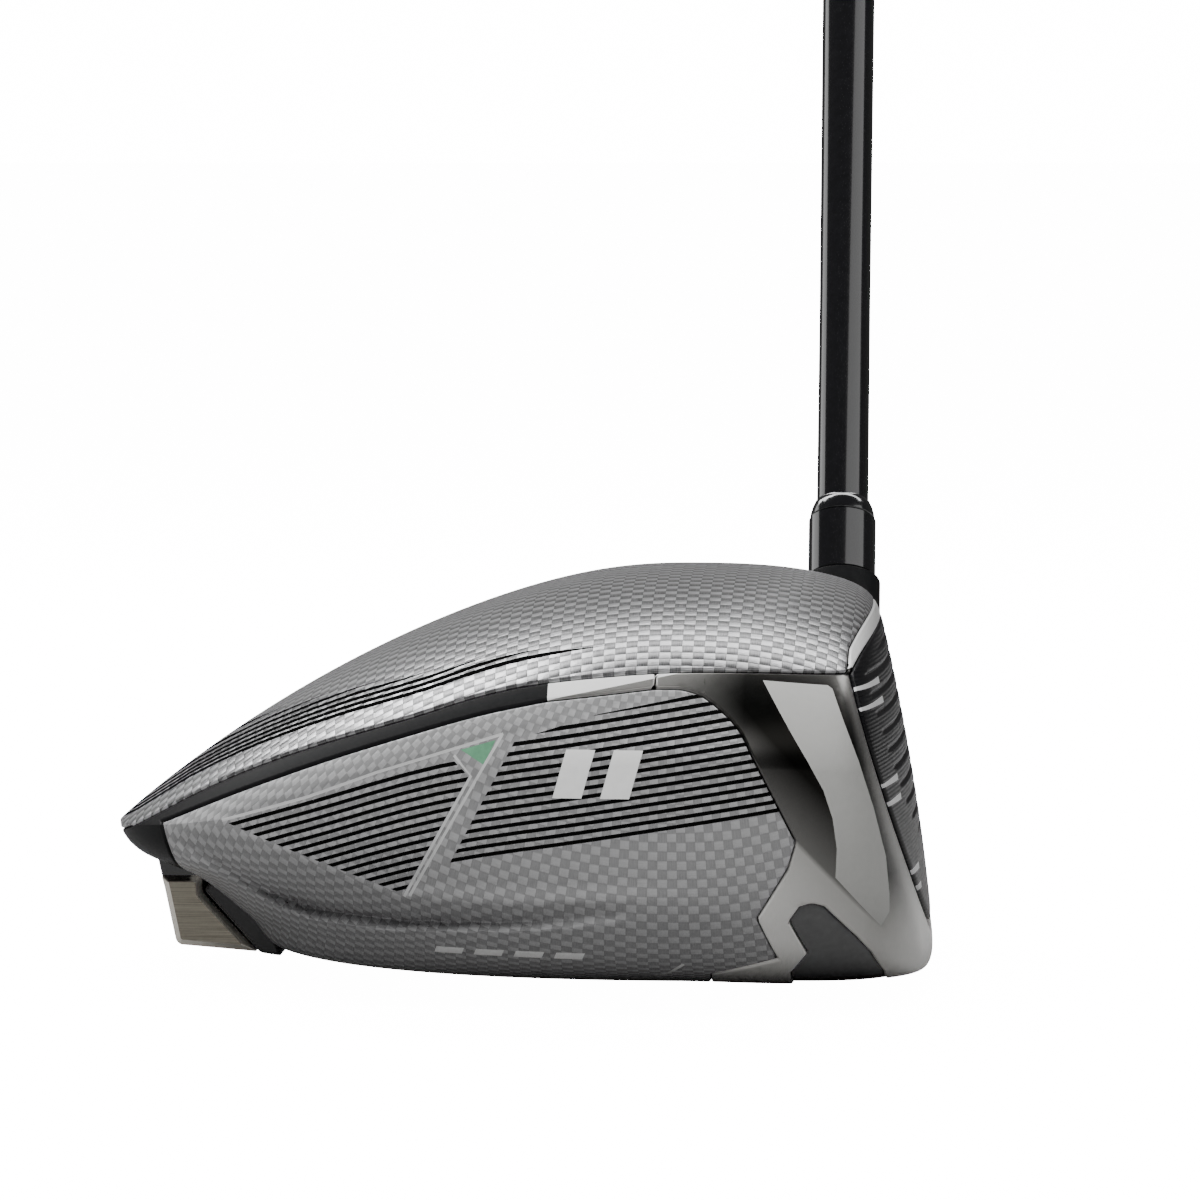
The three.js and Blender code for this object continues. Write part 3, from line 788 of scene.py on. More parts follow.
def striped_face():
    """The face film: black with very fine horizontal ridges."""
    ridge_pitch = 0.55
    graph = Graph("face_film_looks", (0.008, 0.008, 0.009), 0.34)
    _, _, z = graph.split(graph.place())
    ridges = graph.math("SINE", graph.math("MULTIPLY", z, 2 * math.pi / ridge_pitch))
    noise = graph.noise(graph.place((0.2, 0.2, 4)), 1.0, 4)
    graph.mottle(noise, ((0.003, 0.003, 0.004), (0.01, 0.01, 0.011)), (0.22, 0.4))
    graph.bump(graph.span(ridges, 0.5, 1.0), 0.02)
    graph.set("Specular IOR Level", 0.2)
    return graph.material


def painted_shading_tone(graph):
    """Painted shade and reflection on the body's metal, from 0 to 1: dark over the crease on its side, light
    under it, lighter towards the bottom at the front, and mid grey high up near the ring's front end.
    """
    x, _, z = graph.split(graph.place())
    crease_level = CREASE[1] + CREASE_SLOPE * CREASE[0]
    above = graph.math("ADD", z, graph.math("MULTIPLY_ADD", x, CREASE_SLOPE, -crease_level))
    under = graph.ramp_number(above, 1, 0.55, -16, 0)
    over = graph.ramp_number(above, 0.2, 0, 0, 11)
    side = graph.choose(graph.ramp_number(above, 0, 1, -0.5, 0.5), under, over)
    # Painted reflection: at the front the metal grows lighter towards the bottom.
    front = graph.ramp_number(z, 1, 0, 5, 21)
    tone = graph.choose(graph.ramp_number(x, 0, 1, 14, 17.5), side, front)
    tail = graph.math("MULTIPLY", graph.ramp_number(x, 1, 0, -16, -3), graph.ramp_number(z, 0, 1, 40, 44))
    return graph.choose(tail, tone, 0.45)


def titanium(name, with_painted_shading):
    """Satin titanium; with painted shading, painted shade darkens it over the body's side and painted
    reflection lightens it under the crease, with a painted highlight beside the face's rim.
    """
    graph = Graph(name, (0.5, 0.49, 0.465), 0.28, 1.0)
    noise = graph.noise(graph.place(), 0.6, 5)
    tone = graph.span(noise, 0.4, 0.5)
    # With painted shading, the tone is painted shade and reflection.
    if with_painted_shading:
        # The painted highlight beside the face's rim, from the lines layer, lightens the tone.
        rim, _, _ = graph.split(graph.layer("lines"))
        tone = graph.math("MULTIPLY_ADD", rim, 0.45, painted_shading_tone(graph))
        graph.wire("Metallic", graph.span(tone, 1, 0.5))
    graph.wire("Base Color", graph.ramp(tone, (0.016, 0.015, 0.0135), (0.86, 0.85, 0.82)))
    graph.wire("Roughness", graph.span(noise, 0.26, 0.36))
    graph.bump(graph.noise(graph.place(), 5.0, 2), 0.003)
    return graph.material


def painted_highlight_weight_metal():
    """Brushed champagne metal, with a painted highlight on its chamfers."""
    graph = Graph("block_metal_painted_highlight_looks", (0.4, 0.37, 0.3), 0.3, 1.0)
    lines = graph.noise(graph.place((0.1, 0.1, 7)), 1.0, 6)
    # Painted highlight: faces that don't face sideways, the chamfers and walls, get a light colour; only the
    # sideways faces show the brushed metal.
    geometry = graph.tree.nodes.new("ShaderNodeNewGeometry")
    _, facing, _ = graph.split(geometry.outputs["True Normal"])
    flat = graph.math("GREATER_THAN", graph.math("ABSOLUTE", facing), 0.98)
    metal = graph.ramp(lines, (0.25, 0.23, 0.185), (0.44, 0.41, 0.34), 0.3, 0.7)
    graph.wire("Base Color", graph.ramp(flat, (0.86, 0.82, 0.74), metal))
    graph.wire("Roughness", graph.span(lines, 0.24, 0.4))
    graph.bump(lines, 0.012)
    return graph.material


# Each cloth is a tow's two widths, a light and a dark colour, metallic, roughness and relief depth. The light
# and dark colours carry painted sheen as well as the cloth's tone.
CROWN_CLOTH = (1.67, 1.67), (0.57, 0.57, 0.58), (0.12, 0.12, 0.122), 0.78, 0.3, 0.09
SOLE_CLOTH = (1.62, 1.4), (0.47, 0.47, 0.475), (0.25, 0.25, 0.253), 0.35, 0.34, 0.06
CROWN_WEAVE = carbon("silver_weave", *CROWN_CLOTH, ink=True)
SOLE_WEAVE = carbon("grey_weave", *SOLE_CLOTH)
SOLE_STRIPES = carbon("striped_weave", *SOLE_CLOTH, ink=True)
TITANIUM = titanium("titanium_looks", False)
TITANIUM_WITH_PAINTED_SHADE = titanium("titanium_painted_shade_looks", True)
INLAY = satin("inlay_matte", (0.42, 0.42, 0.405), 0.5, grain=0.02, bump=0.003)
RIM_GREY = satin("rim_paint", (0.8, 0.8, 0.79), 0.35, grain=0.02, coat=0.4, bump=0.003)
BLACK_SATIN = satin("ring_black", (0.011, 0.011, 0.0115), 0.4, grain=0.15, bump=0.004, gloss=0.03)
WHITE_PAINT = satin("white_paint", (0.93, 0.93, 0.92), 0.3, grain=0.02, coat=0.3, bump=0.002)
PALE_LINE = satin("pale_line", (0.62, 0.62, 0.62), 0.3, metallic=0.2, grain=0.03, coat=0.4, bump=0.002)
GREEN_PAINT = satin("green_paint", (0.16, 0.40, 0.24), 0.3, metallic=0.3, grain=0.15, coat=0.5, bump=0.002)
CHROME_MARK = satin("chrome_mark", (0.93, 0.93, 0.92), 0.2, metallic=0.1, grain=0.03, coat=0.3, bump=0.002)
DARK_POLYMER = satin("pocket_polymer", (0.11, 0.11, 0.112), 0.42, grain=0.1, bump=0.006)
HOUSING_BLACK = satin("housing_black", (0.045, 0.045, 0.046), 0.3, grain=0.15, bump=0.004)
GLOSS_BLACK = satin("lacquer_black", (0.006, 0.006, 0.007), 0.16, grain=0.2, coat=1.0, bump=0.002)
BRONZE = brushed("brushed_weight", (0.42, 0.385, 0.32), 0.34, (0.12, 0.12, 5))
WEIGHT_METAL_PAINTED_HIGHLIGHT = painted_highlight_weight_metal()
STEEL = brushed("turned_steel", (0.55, 0.55, 0.55), 0.3, (3, 3, 0.3))
FACE_FILM = striped_face()
SCORE_LINE = satin("score_line", (0.8, 0.8, 0.8), 0.4, metallic=0.1, grain=0.04, bump=0.004)
GRIP_RUBBER = rubber_grip()
TAPE = satin("tape_looks", (0.62, 0.60, 0.53), 0.8, grain=0.1, bump=0.02)
PLATE_CARBON = satin("plate_carbon", (0.02, 0.02, 0.021), 0.5, grain=0.2, bump=0.01)


# ---- Outlines of the panels in the side view, as in the CAD ----


CURVE_STEPS = 4


def curve(points):
    """A smooth line through the points."""
    position = np.linspace(0, len(points) - 1, (len(points) - 1) * CURVE_STEPS + 1)
    return [tuple(point) for point in catmull_rom(points, position)]


SEAM = curve([
    (-100, 22.5), (-83, 32), (-68, 38.4), (-51, 44), (-42, 47), (-32, 49.2), (-16, 50.8), (-2, 50.9),
    (11.6, 50.3),
])
# The seam's first six spans run along the ring.
SEAM_TO_RING_END = 6 * CURVE_STEPS + 1
CROWN_FRONT = curve([(11.8, 53.4), (13.3, 55.6), (15.2, 57.4), (19, 60)])
RING_FRONT = (-16, 48.7)
RING_LOWER = curve([(-31.6, 46.8), (-42.2, 44.4), (-56.8, 39.8), (-67.5, 36), (-79.7, 31.1), (-91, 26)])
RING_TAIL = [(-89.5, 20), (-88.8, 16.5), (-88.5, 10)]
PANEL_FRONT = [
    *curve([(-12.4, 48.7), (-8.7, 47.5), (-4, 43.5), (-1.3, 38.4), (4.5, 26.8)]),
    (3.4, 23), (-1.2, 15.4), (1.6, 8.8), (-8.2, 5.7), (-10.5, -5),
]
FACE_RIM = [
    *curve([(25, -5), (24.2, 6.1), (21.9, 15.9), (17.3, 31.6), (12, 50)]),
    *curve([(12, 50), (14.1, 53.1), (18, 56.5), (24, 60)])[1:],
]
FACE_ENDS = [(-80, -6), (31, -6), (33, 8), (34, 25), (35.5, 40), (40.5, 50), (46, 61), (-80, 61)]
POCKET = [
    (3.5, 14.9), (5.1, 17.2), (6.8, 17.5), (8.5, 17), (13.1, 11.9), (15.1, 9.1), (16.8, 5.1), (17.2, -3),
    (3, -3), (3.4, 5.8), (6, 9.5),
]

in_crown = outline_field([(-110, 17), *SEAM, *CROWN_FRONT, (19, 90), (-110, 90)])
in_ring = outline_field([
    (-110, 17), *SEAM[:SEAM_TO_RING_END], RING_FRONT, *RING_LOWER, *RING_TAIL, (-110, 10),
])
in_sole = outline_field([
    (-110, -5), (-110, 10), *RING_TAIL[::-1], *RING_LOWER[::-1], RING_FRONT, *PANEL_FRONT,
])
in_face = both(outline_field([*FACE_RIM, (45, 60), (45, -5)]), outline_field(FACE_ENDS, FRONT_VIEW))

POCKET_END_Y = -9
in_pocket = both(outline_field(POCKET), lambda x, y, z: y - POCKET_END_Y)

# ---- Painted areas, as side-view outlines ----

TOE = -1
INLAY_AREA = [
    (-0.5, 49.7), (8.8, 48.8), (9.5, 48.3), (13.4, 38.2), (15.6, 30.9), (17.3, 23.7), (17.8, 18),
    (17.8, 15.5), (16.6, 13.5), (10.1, 21.4), (10.3, 25.7), (9.7, 30.2), (8.4, 34.3), (6.1, 38.6),
    (4.3, 41.6),
]
BRIM_AREA = [(11, 50.7), (13, 51), (30, 51), (30, 62), (11, 62)]
RING_WHITE = [(-31.6, 46.9), (-8, 51.6), (-8, 56), (-31.6, 56)]
RING_BRIGHT = [(-31.6, 40), (-8, 40), (-8, 51.6), (-31.6, 46.9)]
STRIPES_FRONT = [
    (-36, 41.3), (-24, 45.1), (-8.7, 48.2), (4, 48.2), (9, 32), (2.4, 31.15), (-24, 26.8), (-45.9, 22.7),
]
STRIPES_REAR = [(-79.6, 27.2), (-67.1, 31.3), (-56.5, 35.4), (-45.4, 38.5), (-42.6, 36), (-52.8, 18.1)]
UPPER_LINE = [(-80.6, 27.5), (-67.1, 31.9), (-56.5, 36), (-45.3, 39.7), (-37.8, 42.1)]
CROSS_LINES = [[(-38, 41.9), (-51.9, 17.8)], [(-45, 38.9), (-42.4, 36.1), (-52.7, 17.7)]]
GREEN_AREA = [(-44, 39.7), (-38.9, 41.2), (-40.5, 37.7)]
SWEEP_LINE = [(-23, 3.4), (-18.5, 4.3), (-14.5, 6), (-12, 8)]
PALE, GREEN, BRIGHT, STRIPED = 1, 2, 3, 4
LINE_WIDTH = 0.42


def slanted_bar(x, z, width, height, slant):
    """A leaning bar's outline from its lower rear corner."""
    return [(x, z), (x + width, z), (x + width + slant, z + height), (x + slant, z + height)]


BADGE = [slanted_bar(x, 33.2, 4.2, 7, 2) for x in (-30.5, -23.6)]
PLAIN_MARKS = [slanted_bar(-49 + 6 * k, 8.6, 4.2, 1.1, 0.5) for k in range(4)]

STRIPE_PITCH = 1.28
# Half widths of printed lines are shares of the pitch.
STRIPE_HALF_WIDTH = 0.23
# Crown lines: the lowest one's height over the seam, and the pitch to the next, along x.
CROWN_LINE = np.array([(-97, 1.8), (-88, 2.5), (-79, 2.7), (-61, 3.1), (-47, 3.1), (-24, 3.9)])
CROWN_PITCH = np.array([(-97, 0.35), (-80, 0.5), (-61, 0.68), (-24, 0.85)])
CROWN_LINES = 7
CROWN_HALF_WIDTH, CROWN_THINNING = 0.34, 0.02
# The lowest line's front end, how far back each next one ends, and how far they taper.
CROWN_LINE_TIP, CROWN_LINE_STEP, CROWN_LINE_TAPER = -22, 8.2, 14
# Where the painted highlight beside the face's rim lies, and how fast it fades, in millimetres.
RIM_BAND, RIM_FADE = 0.6, 0.8


def sole_lines(points):
    """The number of the stripe at each point, as a fraction between stripes, and its half width."""
    x, _, z = points.T
    number = (z - along(np.array(curve(STRIPE_LOW)), x)) / STRIPE_PITCH + 0.5
    return np.stack([number, np.full(len(x), STRIPE_HALF_WIDTH)], -1)


def crown_lines(points):
    """As sole_lines, for the lines along the crown's rim."""
    x, _, z = points.T
    number = (z - along(np.array(SEAM), x) - along(CROWN_LINE, x)) / along(CROWN_PITCH, x)
    number = np.clip(number, -0.5, CROWN_LINES - 0.5)
    line = np.clip(np.round(number), 0, CROWN_LINES - 1)
    behind_tip = CROWN_LINE_TIP - CROWN_LINE_STEP * line - x
    half_width = (CROWN_HALF_WIDTH - CROWN_THINNING * line) * smooth_step(0, CROWN_LINE_TAPER, behind_tip)
    return np.stack([number, half_width], -1)


def face_rim_painted_highlight(points):
    """A painted highlight: 1 in a narrow band beside the face's rim, below the crown, falling to 0 away from
    it.
    """
    x, y, z = points.T
    rim = np.exp(-((in_face(x, y, z) - RIM_BAND) / RIM_FADE) ** 2) * (z < 50)
    return np.stack([rim, np.zeros_like(rim)], -1)


# ---- Head ----

BODY_WALL = 2.6
FACE_MARGIN = 2.2
COLUMNS, ROWS = 280, 130

RIB_PITCH, RIB_DEPTH, RIB_SHARPNESS = 2.87, 0.4, 0.11
LOW_RIB = 16.4
SCORED_RIBS = (0, 1, 5, 6, 10, 11)
SCORE_OUTER, SCORE_INNER, LOW_SCORE_INNER = 50, 31, 20

HOSEL_SCREW_STATION = 20
HOSEL_PORT_R, FRONT_PORT_R = 4.8, 5.6
HOSEL = axis_frame(HOSEL_FOOT, HOSEL_AXIS)
HOSEL_FOOT_SCREW = axis_frame(HOSEL_FOOT + HOSEL_SCREW_STATION * HOSEL_AXIS, -HOSEL_AXIS)
REAR_SCREW = axis_frame(REAR_PORT, REAR_AXIS)
FRONT_SCREW = axis_frame(FRONT_PORT, (0, 0, -1))
UPPER_PART_FROM, LOWER_PART_TO = 30, 20
FAR_FROM_HOLE = 50


def upper_only(field):
    """Limits a hole through the crown to the head's upper part."""
    return lambda x, y, z: np.where(z > UPPER_PART_FROM, field(x, y, z), FAR_FROM_HOLE)


def lower_only(field):
    """Limits a hole through the sole to the head's lower part."""
    return lambda x, y, z: np.where(z < LOWER_PART_TO, field(x, y, z), FAR_FROM_HOLE)


hosel_hole = upper_only(round_hole(HOSEL_FOOT, HOSEL_AXIS, HOSEL_R + GAP / 2))
hosel_port = lower_only(round_hole(HOSEL_FOOT, HOSEL_AXIS, HOSEL_PORT_R))
front_port = lower_only(round_hole(FRONT_PORT, (0, 0, 1), FRONT_PORT_R))

finish_piece(panel(
    "crown_shell", Sheet(COLUMNS, ROWS, (0, 1.2)), both(in_crown, outside(hosel_hole)), [CROWN_WEAVE],
    lines=crown_lines,
), "head", "crown_carbon", "crown")
finish_piece(panel(
    "inertia_band", Sheet(COLUMNS, ROWS, (0.4, 1.9)), in_ring, [BLACK_SATIN, WHITE_PAINT, TITANIUM_WITH_PAINTED_SHADE],
    thickness=BODY_WALL, paints=[(RING_WHITE, 1, None), (RING_BRIGHT, 2, None)], lines=face_rim_painted_highlight,
), "head", "black_aluminium", "inertia_ring")

sole_paints = [(STRIPES_FRONT, STRIPED, None), (STRIPES_REAR, STRIPED, None), (GREEN_AREA, GREEN, None)]
sole_paints += [(stroke(line, LINE_WIDTH), PALE, None) for line in [UPPER_LINE, *CROSS_LINES]]
sole_paints += [(mark, BRIGHT, TOE) for mark in [*BADGE, *PLAIN_MARKS, stroke(SWEEP_LINE, LINE_WIDTH)]]
finish_piece(panel(
    "sole_shell", Sheet(COLUMNS, ROWS, (0.4, 2)), in_sole,
    [SOLE_WEAVE, PALE_LINE, GREEN_PAINT, CHROME_MARK, SOLE_STRIPES],
    paints=sole_paints, from_sole=True, lines=sole_lines,
), "head", "sole_carbon", "sole_panel")

in_body = both(*(outside(field) for field in (
    in_crown, in_ring, in_sole, in_face, in_pocket, hosel_hole, hosel_port, front_port,
)))
finish_piece(panel(
    "body_shell", Sheet(COLUMNS, ROWS), in_body, [TITANIUM_WITH_PAINTED_SHADE, INLAY, RIM_GREY, WHITE_PAINT],
    thickness=BODY_WALL, paints=[(INLAY_AREA, 1, TOE), (BRIM_AREA, 2, None), (RING_WHITE, 3, None)],
    lines=face_rim_painted_highlight,
), "head", "titanium", "front_body")


def face_ribs(points, drop, normals):
    """Grooves along the face, kept off its border."""
    x, y, z = points.T
    inner = smooth_step(FACE_MARGIN - 0.4, FACE_MARGIN + 0.2, -in_face(x, y, z))
    phase = ((z - LOW_RIB) / RIB_PITCH) % 1
    groove = np.exp(-((phase - 0.5) / RIB_SHARPNESS) ** 2)
    slope = -2 * (phase - 0.5) / RIB_SHARPNESS**2 * groove / RIB_PITCH
    tilt = np.zeros_like(points)
    tilt[:, 2] = slope * RIB_DEPTH * inner
    leaned = normals + tilt
    return drop + RIB_DEPTH * groove * inner, leaned / np.linalg.norm(leaned, axis=1, keepdims=True)


def score_mark(side, rib):
    """A pale dash along one rib of the face, thicker towards the middle."""
    z = LOW_RIB + RIB_PITCH * rib
    inner, outer = side * (LOW_SCORE_INNER if rib < 2 else SCORE_INNER), side * SCORE_OUTER
    return [(outer, z - 0.25), (outer, z + 0.25), (inner, z + 0.5), (inner, z - 0.5)]


score_marks = [(score_mark(side, rib), 1, None) for side in (-1, 1) for rib in SCORED_RIBS]
finish_piece(panel(
    "face_film", Sheet(100, 420, (0.3, 1.9), (-1.5, 1.5)), in_face, [FACE_FILM, SCORE_LINE], thickness=0.6,
    relief=face_ribs, paints=score_marks, view=FRONT_VIEW,
), "head", "face_film", "face_cover")

finish_piece(panel(
    "pocket_trim", Sheet(COLUMNS, ROWS, (0.8, 2)), in_pocket, [DARK_POLYMER], thickness=1.6, sink=0.5,
    inset=0.05,
), "head", "black_polymer", "pocket_insert")


TEETH, TOOTH_HEIGHT = 12, 0.45
TOOTH_FOOT, TOOTH_TOP = (54.6, 55.2), (65.2, 65.6)
HOSEL_BORE, SLEEVE_R = 5.05, 4.75


def sleeve_teeth(angle, radius, station):
    """The teeth round the sleeve, and their grooves in the hosel's mouth."""
    run = smooth_step(*TOOTH_FOOT, station) * (1 - smooth_step(*TOOTH_TOP, station))
    shape = smooth_step(-0.4, 0.4, np.sin(TEETH * angle))
    return TOOTH_HEIGHT * shape * run * (SLEEVE_R <= radius <= HOSEL_BORE)


finish_piece(turned("hosel_tube", HOSEL, [
    *((HOSEL_BORE, station) for station in (TOOTH_TOP[0], *reversed(TOOTH_FOOT), 30)),
    (2.75, 30), (2.75, 26), (HOSEL_R, 26), (HOSEL_R, 65.3), (6.1, 65.55), (5.85, 65.7), (5.55, 65.7),
    (5.35, 65.6),
], [BLACK_SATIN], relief=sleeve_teeth), "head", "titanium")


HOSEL_PORT_Z = 2.2


def level_foot(obj, height):
    """Moves the lowest rings of a tube along the shaft's axis, so that it ends level with the ground."""
    for vertex in obj.data.vertices:
        _, station = axis_distance(np.array(vertex.co) / MM, HOSEL_FOOT, HOSEL_AXIS)
        if station < 10:
            vertex.co += Vector(HOSEL_AXIS) * (height * MM - vertex.co.z) / HOSEL_AXIS[2]
    return obj


screw_port = turned("hosel_screw_port", HOSEL, [
    (HOSEL_PORT_R, 26), (HOSEL_PORT_R, 5), (6, 5), (6, 26),
], [TITANIUM])
finish_piece(level_foot(screw_port, HOSEL_PORT_Z), "head", "titanium")
finish_piece(turned("front_weight_port", FRONT_SCREW, rounded([
    (3.1, -3.6), (FRONT_PORT_R, -3.6), (FRONT_PORT_R, -0.2), (6.6, -0.2), (6.6, -8), (3.1, -8),
], 0.3), [TITANIUM]), "head", "titanium")


# ---- Weights and screws ----

BLOCK_TOP = [(-93.8, 19.4), (-92.95, 15.6), (-87.1, 15.6), (-88, 19)]
BLOCK_FOOT = [
    (-93.1, 16.1), (-92.6, 14.2), (-90.9, 6.1), (-90.3, 5.5), (-78.4, 4.5), (-86.8, 13.5), (-86.9, 16.1),
]
HOUSING = [(-86.5, 13.9), (-78, 4.4), (-74.6, 3.9), (-79.5, 14), (-84, 17)]
REAR_SEAT = [(0, 9), (5.6, 9), (5.6, -3.5), (3.15, -3.5), (3.15, -26), (0, -26)]
BLOCK_HALF_WIDTH, BLOCK_BEVEL = 13, 0.9
THREAD_PITCH, THREAD_DEPTH = 0.8, 0.4

block = prism("weight_block", BLOCK_FOOT, 0.5, BLOCK_HALF_WIDTH, BLOCK_BEVEL, [WEIGHT_METAL_PAINTED_HIGHLIGHT])
finish_piece(drilled(block, REAR_SCREW, REAR_SEAT), "head", "tungsten", "rear_weight_block")
block_top = prism("weight_block_top", BLOCK_TOP, 0.4, BLOCK_HALF_WIDTH - BLOCK_BEVEL, 0.3, [GLOSS_BLACK])
finish_piece(drilled(block_top, REAR_SCREW, REAR_SEAT), "head", "tungsten")
housing = prism("weight_housing", HOUSING, 0.6, BLOCK_HALF_WIDTH, 0.4, [HOUSING_BLACK])
finish_piece(drilled(housing, REAR_SCREW, REAR_SEAT), "head", "black_polymer", "rear_weight_housing")
finish_piece(turned("weight_housing_boss", REAR_SCREW, rounded([
    (6.5, -7), (6.5, -20), (3.15, -20), (3.15, -17.3), (4.9, -17.3), (4.9, -7),
], 0.4), [HOUSING_BLACK]), "head", "black_polymer")


def screw(name, place, head, shank, socket, material):
    """A screw whose head's outer face is at station 0; head, shank and socket are a radius and a length."""
    head_r, shank_r, socket_r = head[0], shank[0], socket[0]
    thread = []
    for foot in np.arange(0.6 - shank[1], -head[1] - 1.8, THREAD_PITCH):
        thread += [(shank_r - THREAD_DEPTH, foot), (shank_r, foot + 0.3), (shank_r, foot + 0.45)]
    profile = [
        (0, -shank[1]), (shank_r - 0.6, -shank[1]), *thread, (shank_r - 0.3, -head[1] - 0.6),
        (shank_r - 0.3, -head[1]), (head_r - 0.2, -head[1]), (head_r, 0.2 - head[1]), (head_r, -0.5),
        (head_r - 0.15, -0.15), (head_r - 0.5, 0), (socket_r + 0.25, 0), (socket_r, -0.25),
        (socket_r, -socket[1]), (0, -socket[1]),
    ]
    hexagons = range(len(profile) - 4, len(profile) - 1)
    return turned(name, place, profile, [material], sides=hexagons)


finish_piece(screw("tail_screw", REAR_SCREW, (5.2, 2.6), (2.85, 15), (2.3, 2.2), BRONZE),
             "rear_weight_screw", "tungsten", "rear_weight_screw")
finish_piece(screw("sole_screw", FRONT_SCREW, (5.2, 2.6), (2.85, 8), (2.3, 2.2), BRONZE),
             "front_weight_screw", "tungsten", "front_weight_screw")
finish_piece(screw("sleeve_screw", HOSEL_FOOT_SCREW, (4.4, 5), (2.4, 22.1), (2, 3), STEEL),
             "hosel_screw", "steel", "hosel_screw")


# ---- Shaft, sleeve and grip ----

CLUB_LENGTH = 1162
TIP_R, BUTT_R, TAPER_START = 4.15, 7.62, 116
SHAFT_WALL = 1.1
GRIP_START, GRIP_END = 895, 1158.5
PIT_COLUMNS, PIT_PITCH, PIT_DEPTH = 9, 9, 0.32
GRIP_GROOVES, GROOVE_DEPTH = (7, 13), 0.35
# The grooves and pits are on the grip's outside, which is all larger than this.
GRIP_OUTSIDE = 8.5

finish_piece(turned("sleeve", HOSEL, [
    (4.4, 76.3), (4.4, 42.5), (2.7, 42.5), (2.7, 34.3), (3, 34), (4.4, 34),
    *((SLEEVE_R, station) for station in (34.4, *TOOTH_FOOT, *TOOTH_TOP, 66)),
    (5.2, 66), (5.4, 66.2), (5.4, 76.3),
], [GLOSS_BLACK], relief=sleeve_teeth), "shaft_group", "gloss_black", "loft_sleeve")
finish_piece(turned("ferrule_cone", HOSEL, [
    (4.3, 76.6), (5.1, 76.6), (5.2, 76.75), (5.12, 77.6), (4.88, 78.5), (4.45, 79.5), (4.3, 79.6),
], [GLOSS_BLACK]), "shaft_group", "gloss_black", "ferrule")


def shaft_radius(station):
    return TIP_R + (BUTT_R - TIP_R) * max(station - TAPER_START, 0) / (CLUB_LENGTH - TAPER_START)


shaft_stations = [43, 60, 80, 100, TAPER_START, *range(200, 1000, 100), 1158]
shaft_outer = [(shaft_radius(station), station) for station in shaft_stations]
shaft_inner = [(radius - SHAFT_WALL, station) for radius, station in reversed(shaft_outer)]
finish_piece(turned("shaft_tube", HOSEL, shaft_outer + shaft_inner, [GLOSS_BLACK]),
             "shaft_group", "shaft_graphite", "shaft")


def grip_pits(angle, radius, station):
    """Small diamond pits moulded along the grip, in rows that wind both ways, between two plain ends."""
    column, wound = PIT_COLUMNS * angle, station * 2 * math.pi / PIT_PITCH
    pattern = np.abs(np.sin(column + wound)) * np.abs(np.sin(column - wound))
    from_end = station - GRIP_START
    amount = smooth_step(22, 26, from_end) * smooth_step(8, 12, CLUB_LENGTH - station)
    groove = sum(smooth_step(k, k + 1, from_end) - smooth_step(k + 2, k + 3, from_end) for k in GRIP_GROOVES)
    pits = -PIT_DEPTH * amount * smooth_step(0.25, 0.55, pattern) - GROOVE_DEPTH * groove
    return pits * (radius > GRIP_OUTSIDE)


grip_sides = np.array([(895, 9), (899, 9.6), (985, 10.4), (1070, 11.6), (1154, 13.4), (1158.5, 13.6)])
grip_outer = [(along(grip_sides, s), s) for s in np.linspace(GRIP_START + 0.6, GRIP_END, 265)]
grip_bore = [(shaft_radius(s) + 0.85, s) for s in (GRIP_END, GRIP_START)]
finish_piece(turned("rubber_grip", HOSEL, [*grip_bore, (8.7, GRIP_START), *grip_outer], [GRIP_RUBBER],
                    relief=grip_pits), "shaft_group", "grip_rubber", "grip")
finish_piece(turned("grip_end", HOSEL, rounded([
    (1.6, 1158.8), (13.6, 1158.8), (13.5, 1160.6), (12.2, 1162), (4.5, 1162), (3.4, 1161.2), (1.6, 1161.2),
], 0.7), [GRIP_RUBBER]), "shaft_group", "grip_rubber", "grip_cap")

CAD_SHAPED = {
    "face_insert": PLATE_CARBON, "rear_weight_bush": STEEL, "hosel_retainer": HOUSING_BLACK,
    "hosel_washer": STEEL, "rear_weight_washer": STEEL, "front_weight_washer": STEEL, "grip_tape": TAPE,
}
for node, material in CAD_SHAPED.items():
    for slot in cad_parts[node].material_slots:
        slot.material = material


# ---- Floor, light and camera ----

WHITE_LEVEL = 16.0
REFLECTED_LEVEL = 0.06
# What the studio light adds to the floor's own brightness.
FLOOR_LIT = 0.8
FLOOR_RADIUS, FLOOR_SIDES = 40, 60


def seen_directly(tree):
    """1 for what the camera sees directly, and 0 for light and reflections."""
    return tree.nodes.new("ShaderNodeLightPath").outputs["Is Camera Ray"]


def floor_material():
    """A pale floor that is near white to the camera, with the object's soft shadow."""
    graph = Graph("floor_pale", (0.82, 0.82, 0.82), 0.9)
    noise = graph.noise(graph.place(), 0.02, 2)
    pale = graph.ramp(noise, (0.81, 0.81, 0.81), (0.83, 0.83, 0.83))
    graph.wire("Base Color", graph.ramp(seen_directly(graph.tree), (0.32, 0.32, 0.32), pale))
    graph.set("Emission Color", (1, 1, 1, 1))
    glow = graph.math("MULTIPLY", seen_directly(graph.tree), WHITE_LEVEL - FLOOR_LIT)
    graph.wire("Emission Strength", glow)
    return graph.material


floor_mesh = bpy.data.meshes.new("floor")
angles = [math.radians(360 / FLOOR_SIDES * k) for k in range(FLOOR_SIDES)]
rim = [(FLOOR_RADIUS * math.cos(angle), FLOOR_RADIUS * math.sin(angle), 0) for angle in angles]
floor_mesh.from_pydata(rim, [], [tuple(range(FLOOR_SIDES))])
floor = bpy.data.objects.new("floor", floor_mesh)
bpy.context.scene.collection.objects.link(floor)
floor.data.materials.append(floor_material())

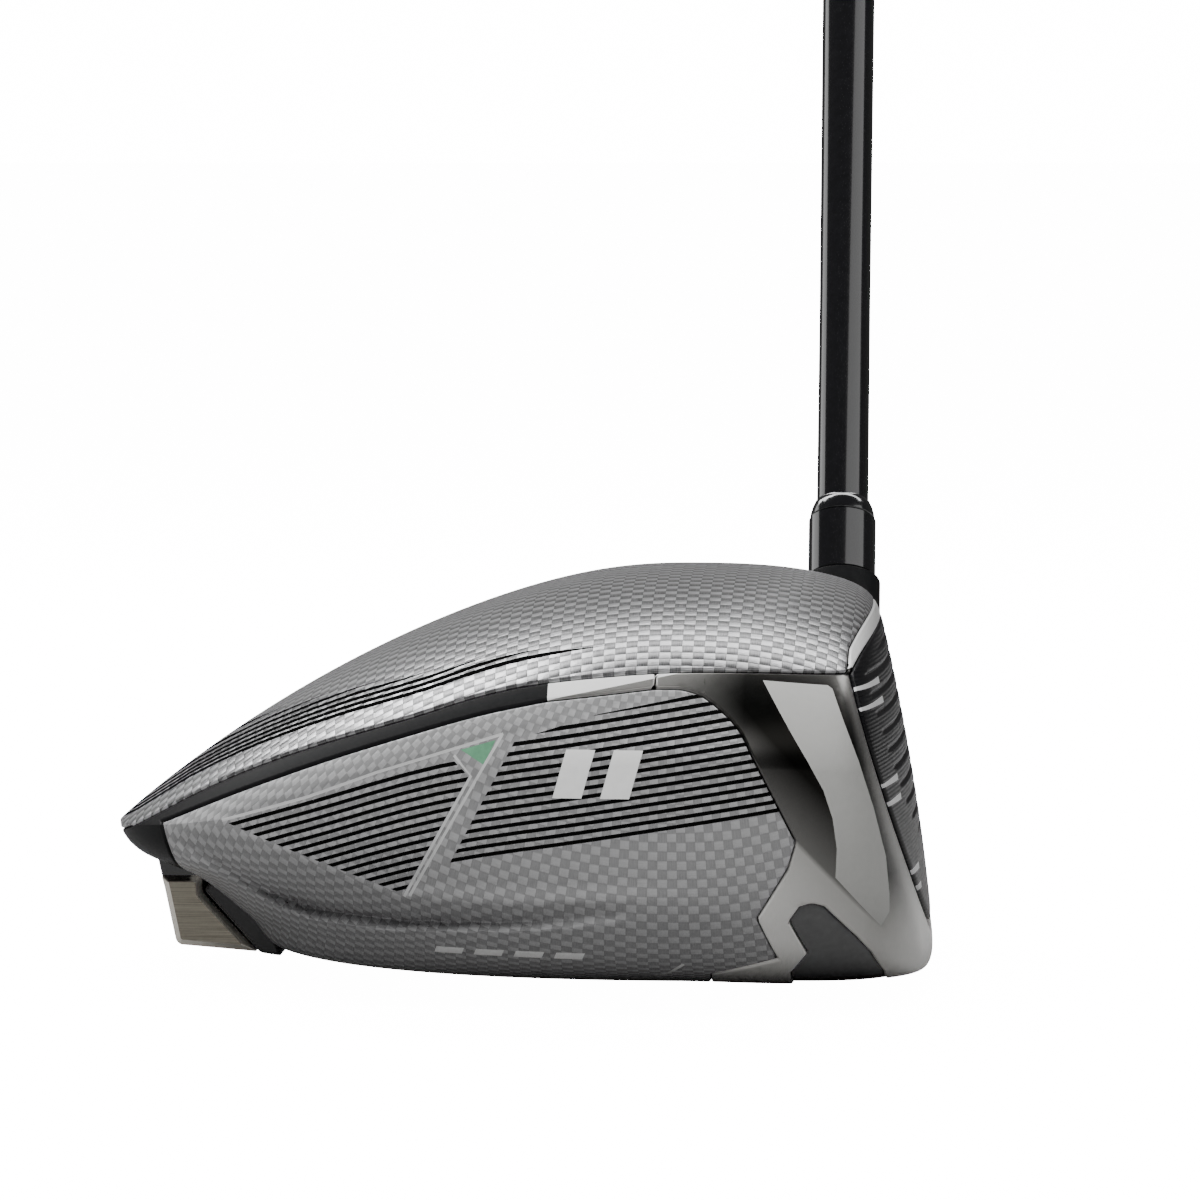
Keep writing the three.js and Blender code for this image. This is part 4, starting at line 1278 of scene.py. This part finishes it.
world = bpy.data.worlds.new("studio")
bpy.context.scene.world = world
world.use_nodes = True
background = world.node_tree.nodes["Background"]
background.inputs["Color"].default_value = (1, 1, 1, 1)
level = world.node_tree.nodes.new("ShaderNodeMapRange")
level.inputs["To Min"].default_value = REFLECTED_LEVEL
level.inputs["To Max"].default_value = WHITE_LEVEL
world.node_tree.links.new(seen_directly(world.node_tree), level.inputs["Value"])
world.node_tree.links.new(level.outputs[0], background.inputs["Strength"])

HEAD_CENTRE = Vector((-0.027, 0, 0.04))


def direction(azimuth, elevation):
    """The unit vector at two angles in degrees. Azimuth 0 is the toe's side."""
    a, e = math.radians(azimuth), math.radians(elevation)
    return Vector((math.sin(a) * math.cos(e), -math.cos(a) * math.cos(e), math.sin(e)))


def softbox(name, azimuth, elevation, distance, width, height, radiance, mirrored=True):
    """A rectangular light at a direction from the head, aimed at it."""
    toward = direction(azimuth, elevation)
    data = bpy.data.lights.new(name, "AREA")
    data.shape = "RECTANGLE"
    data.size, data.size_y = width, height
    data.energy = radiance * math.pi * width * height
    light = bpy.data.objects.new(name, data)
    light.location = HEAD_CENTRE + toward * distance
    light.rotation_euler = toward.to_track_quat("Z", "Y").to_euler()
    light.visible_camera = False
    light.visible_glossy = mirrored
    bpy.context.scene.collection.objects.link(light)


# Each is a name, azimuth and elevation in degrees, distance, width and height in metres, and radiance.
softbox("crown_bar", 180, 60, 1.3, 2.2, 0.3, 7.6)
softbox("left_arm", -137, 44, 1.3, 0.26, 0.9, 8.0)
softbox("left_light", -118, 17, 1.6, 1.0, 0.5, 1.6)
softbox("right_light", 44, 47, 1.5, 3.0, 0.6, 1.4)
softbox("front_fill", -15, 52, 1.5, 1.2, 0.8, 8.4, mirrored=False)

CAMERA_AZIMUTH, CAMERA_ELEVATION, CAMERA_REACH = 3.1, 4.0, 1.0
CAMERA_TARGET = Vector((-0.027, 0, 0.0574))
CAMERA_LENS = 196.3
camera_data = bpy.data.cameras.new("camera")
camera_data.lens = CAMERA_LENS
camera = bpy.data.objects.new("camera", camera_data)
bpy.context.scene.collection.objects.link(camera)
toward = direction(CAMERA_AZIMUTH, CAMERA_ELEVATION)
camera.location = CAMERA_TARGET + toward * CAMERA_REACH
camera.rotation_euler = (-toward).to_track_quat("-Z", "Y").to_euler()
bpy.context.scene.camera = camera
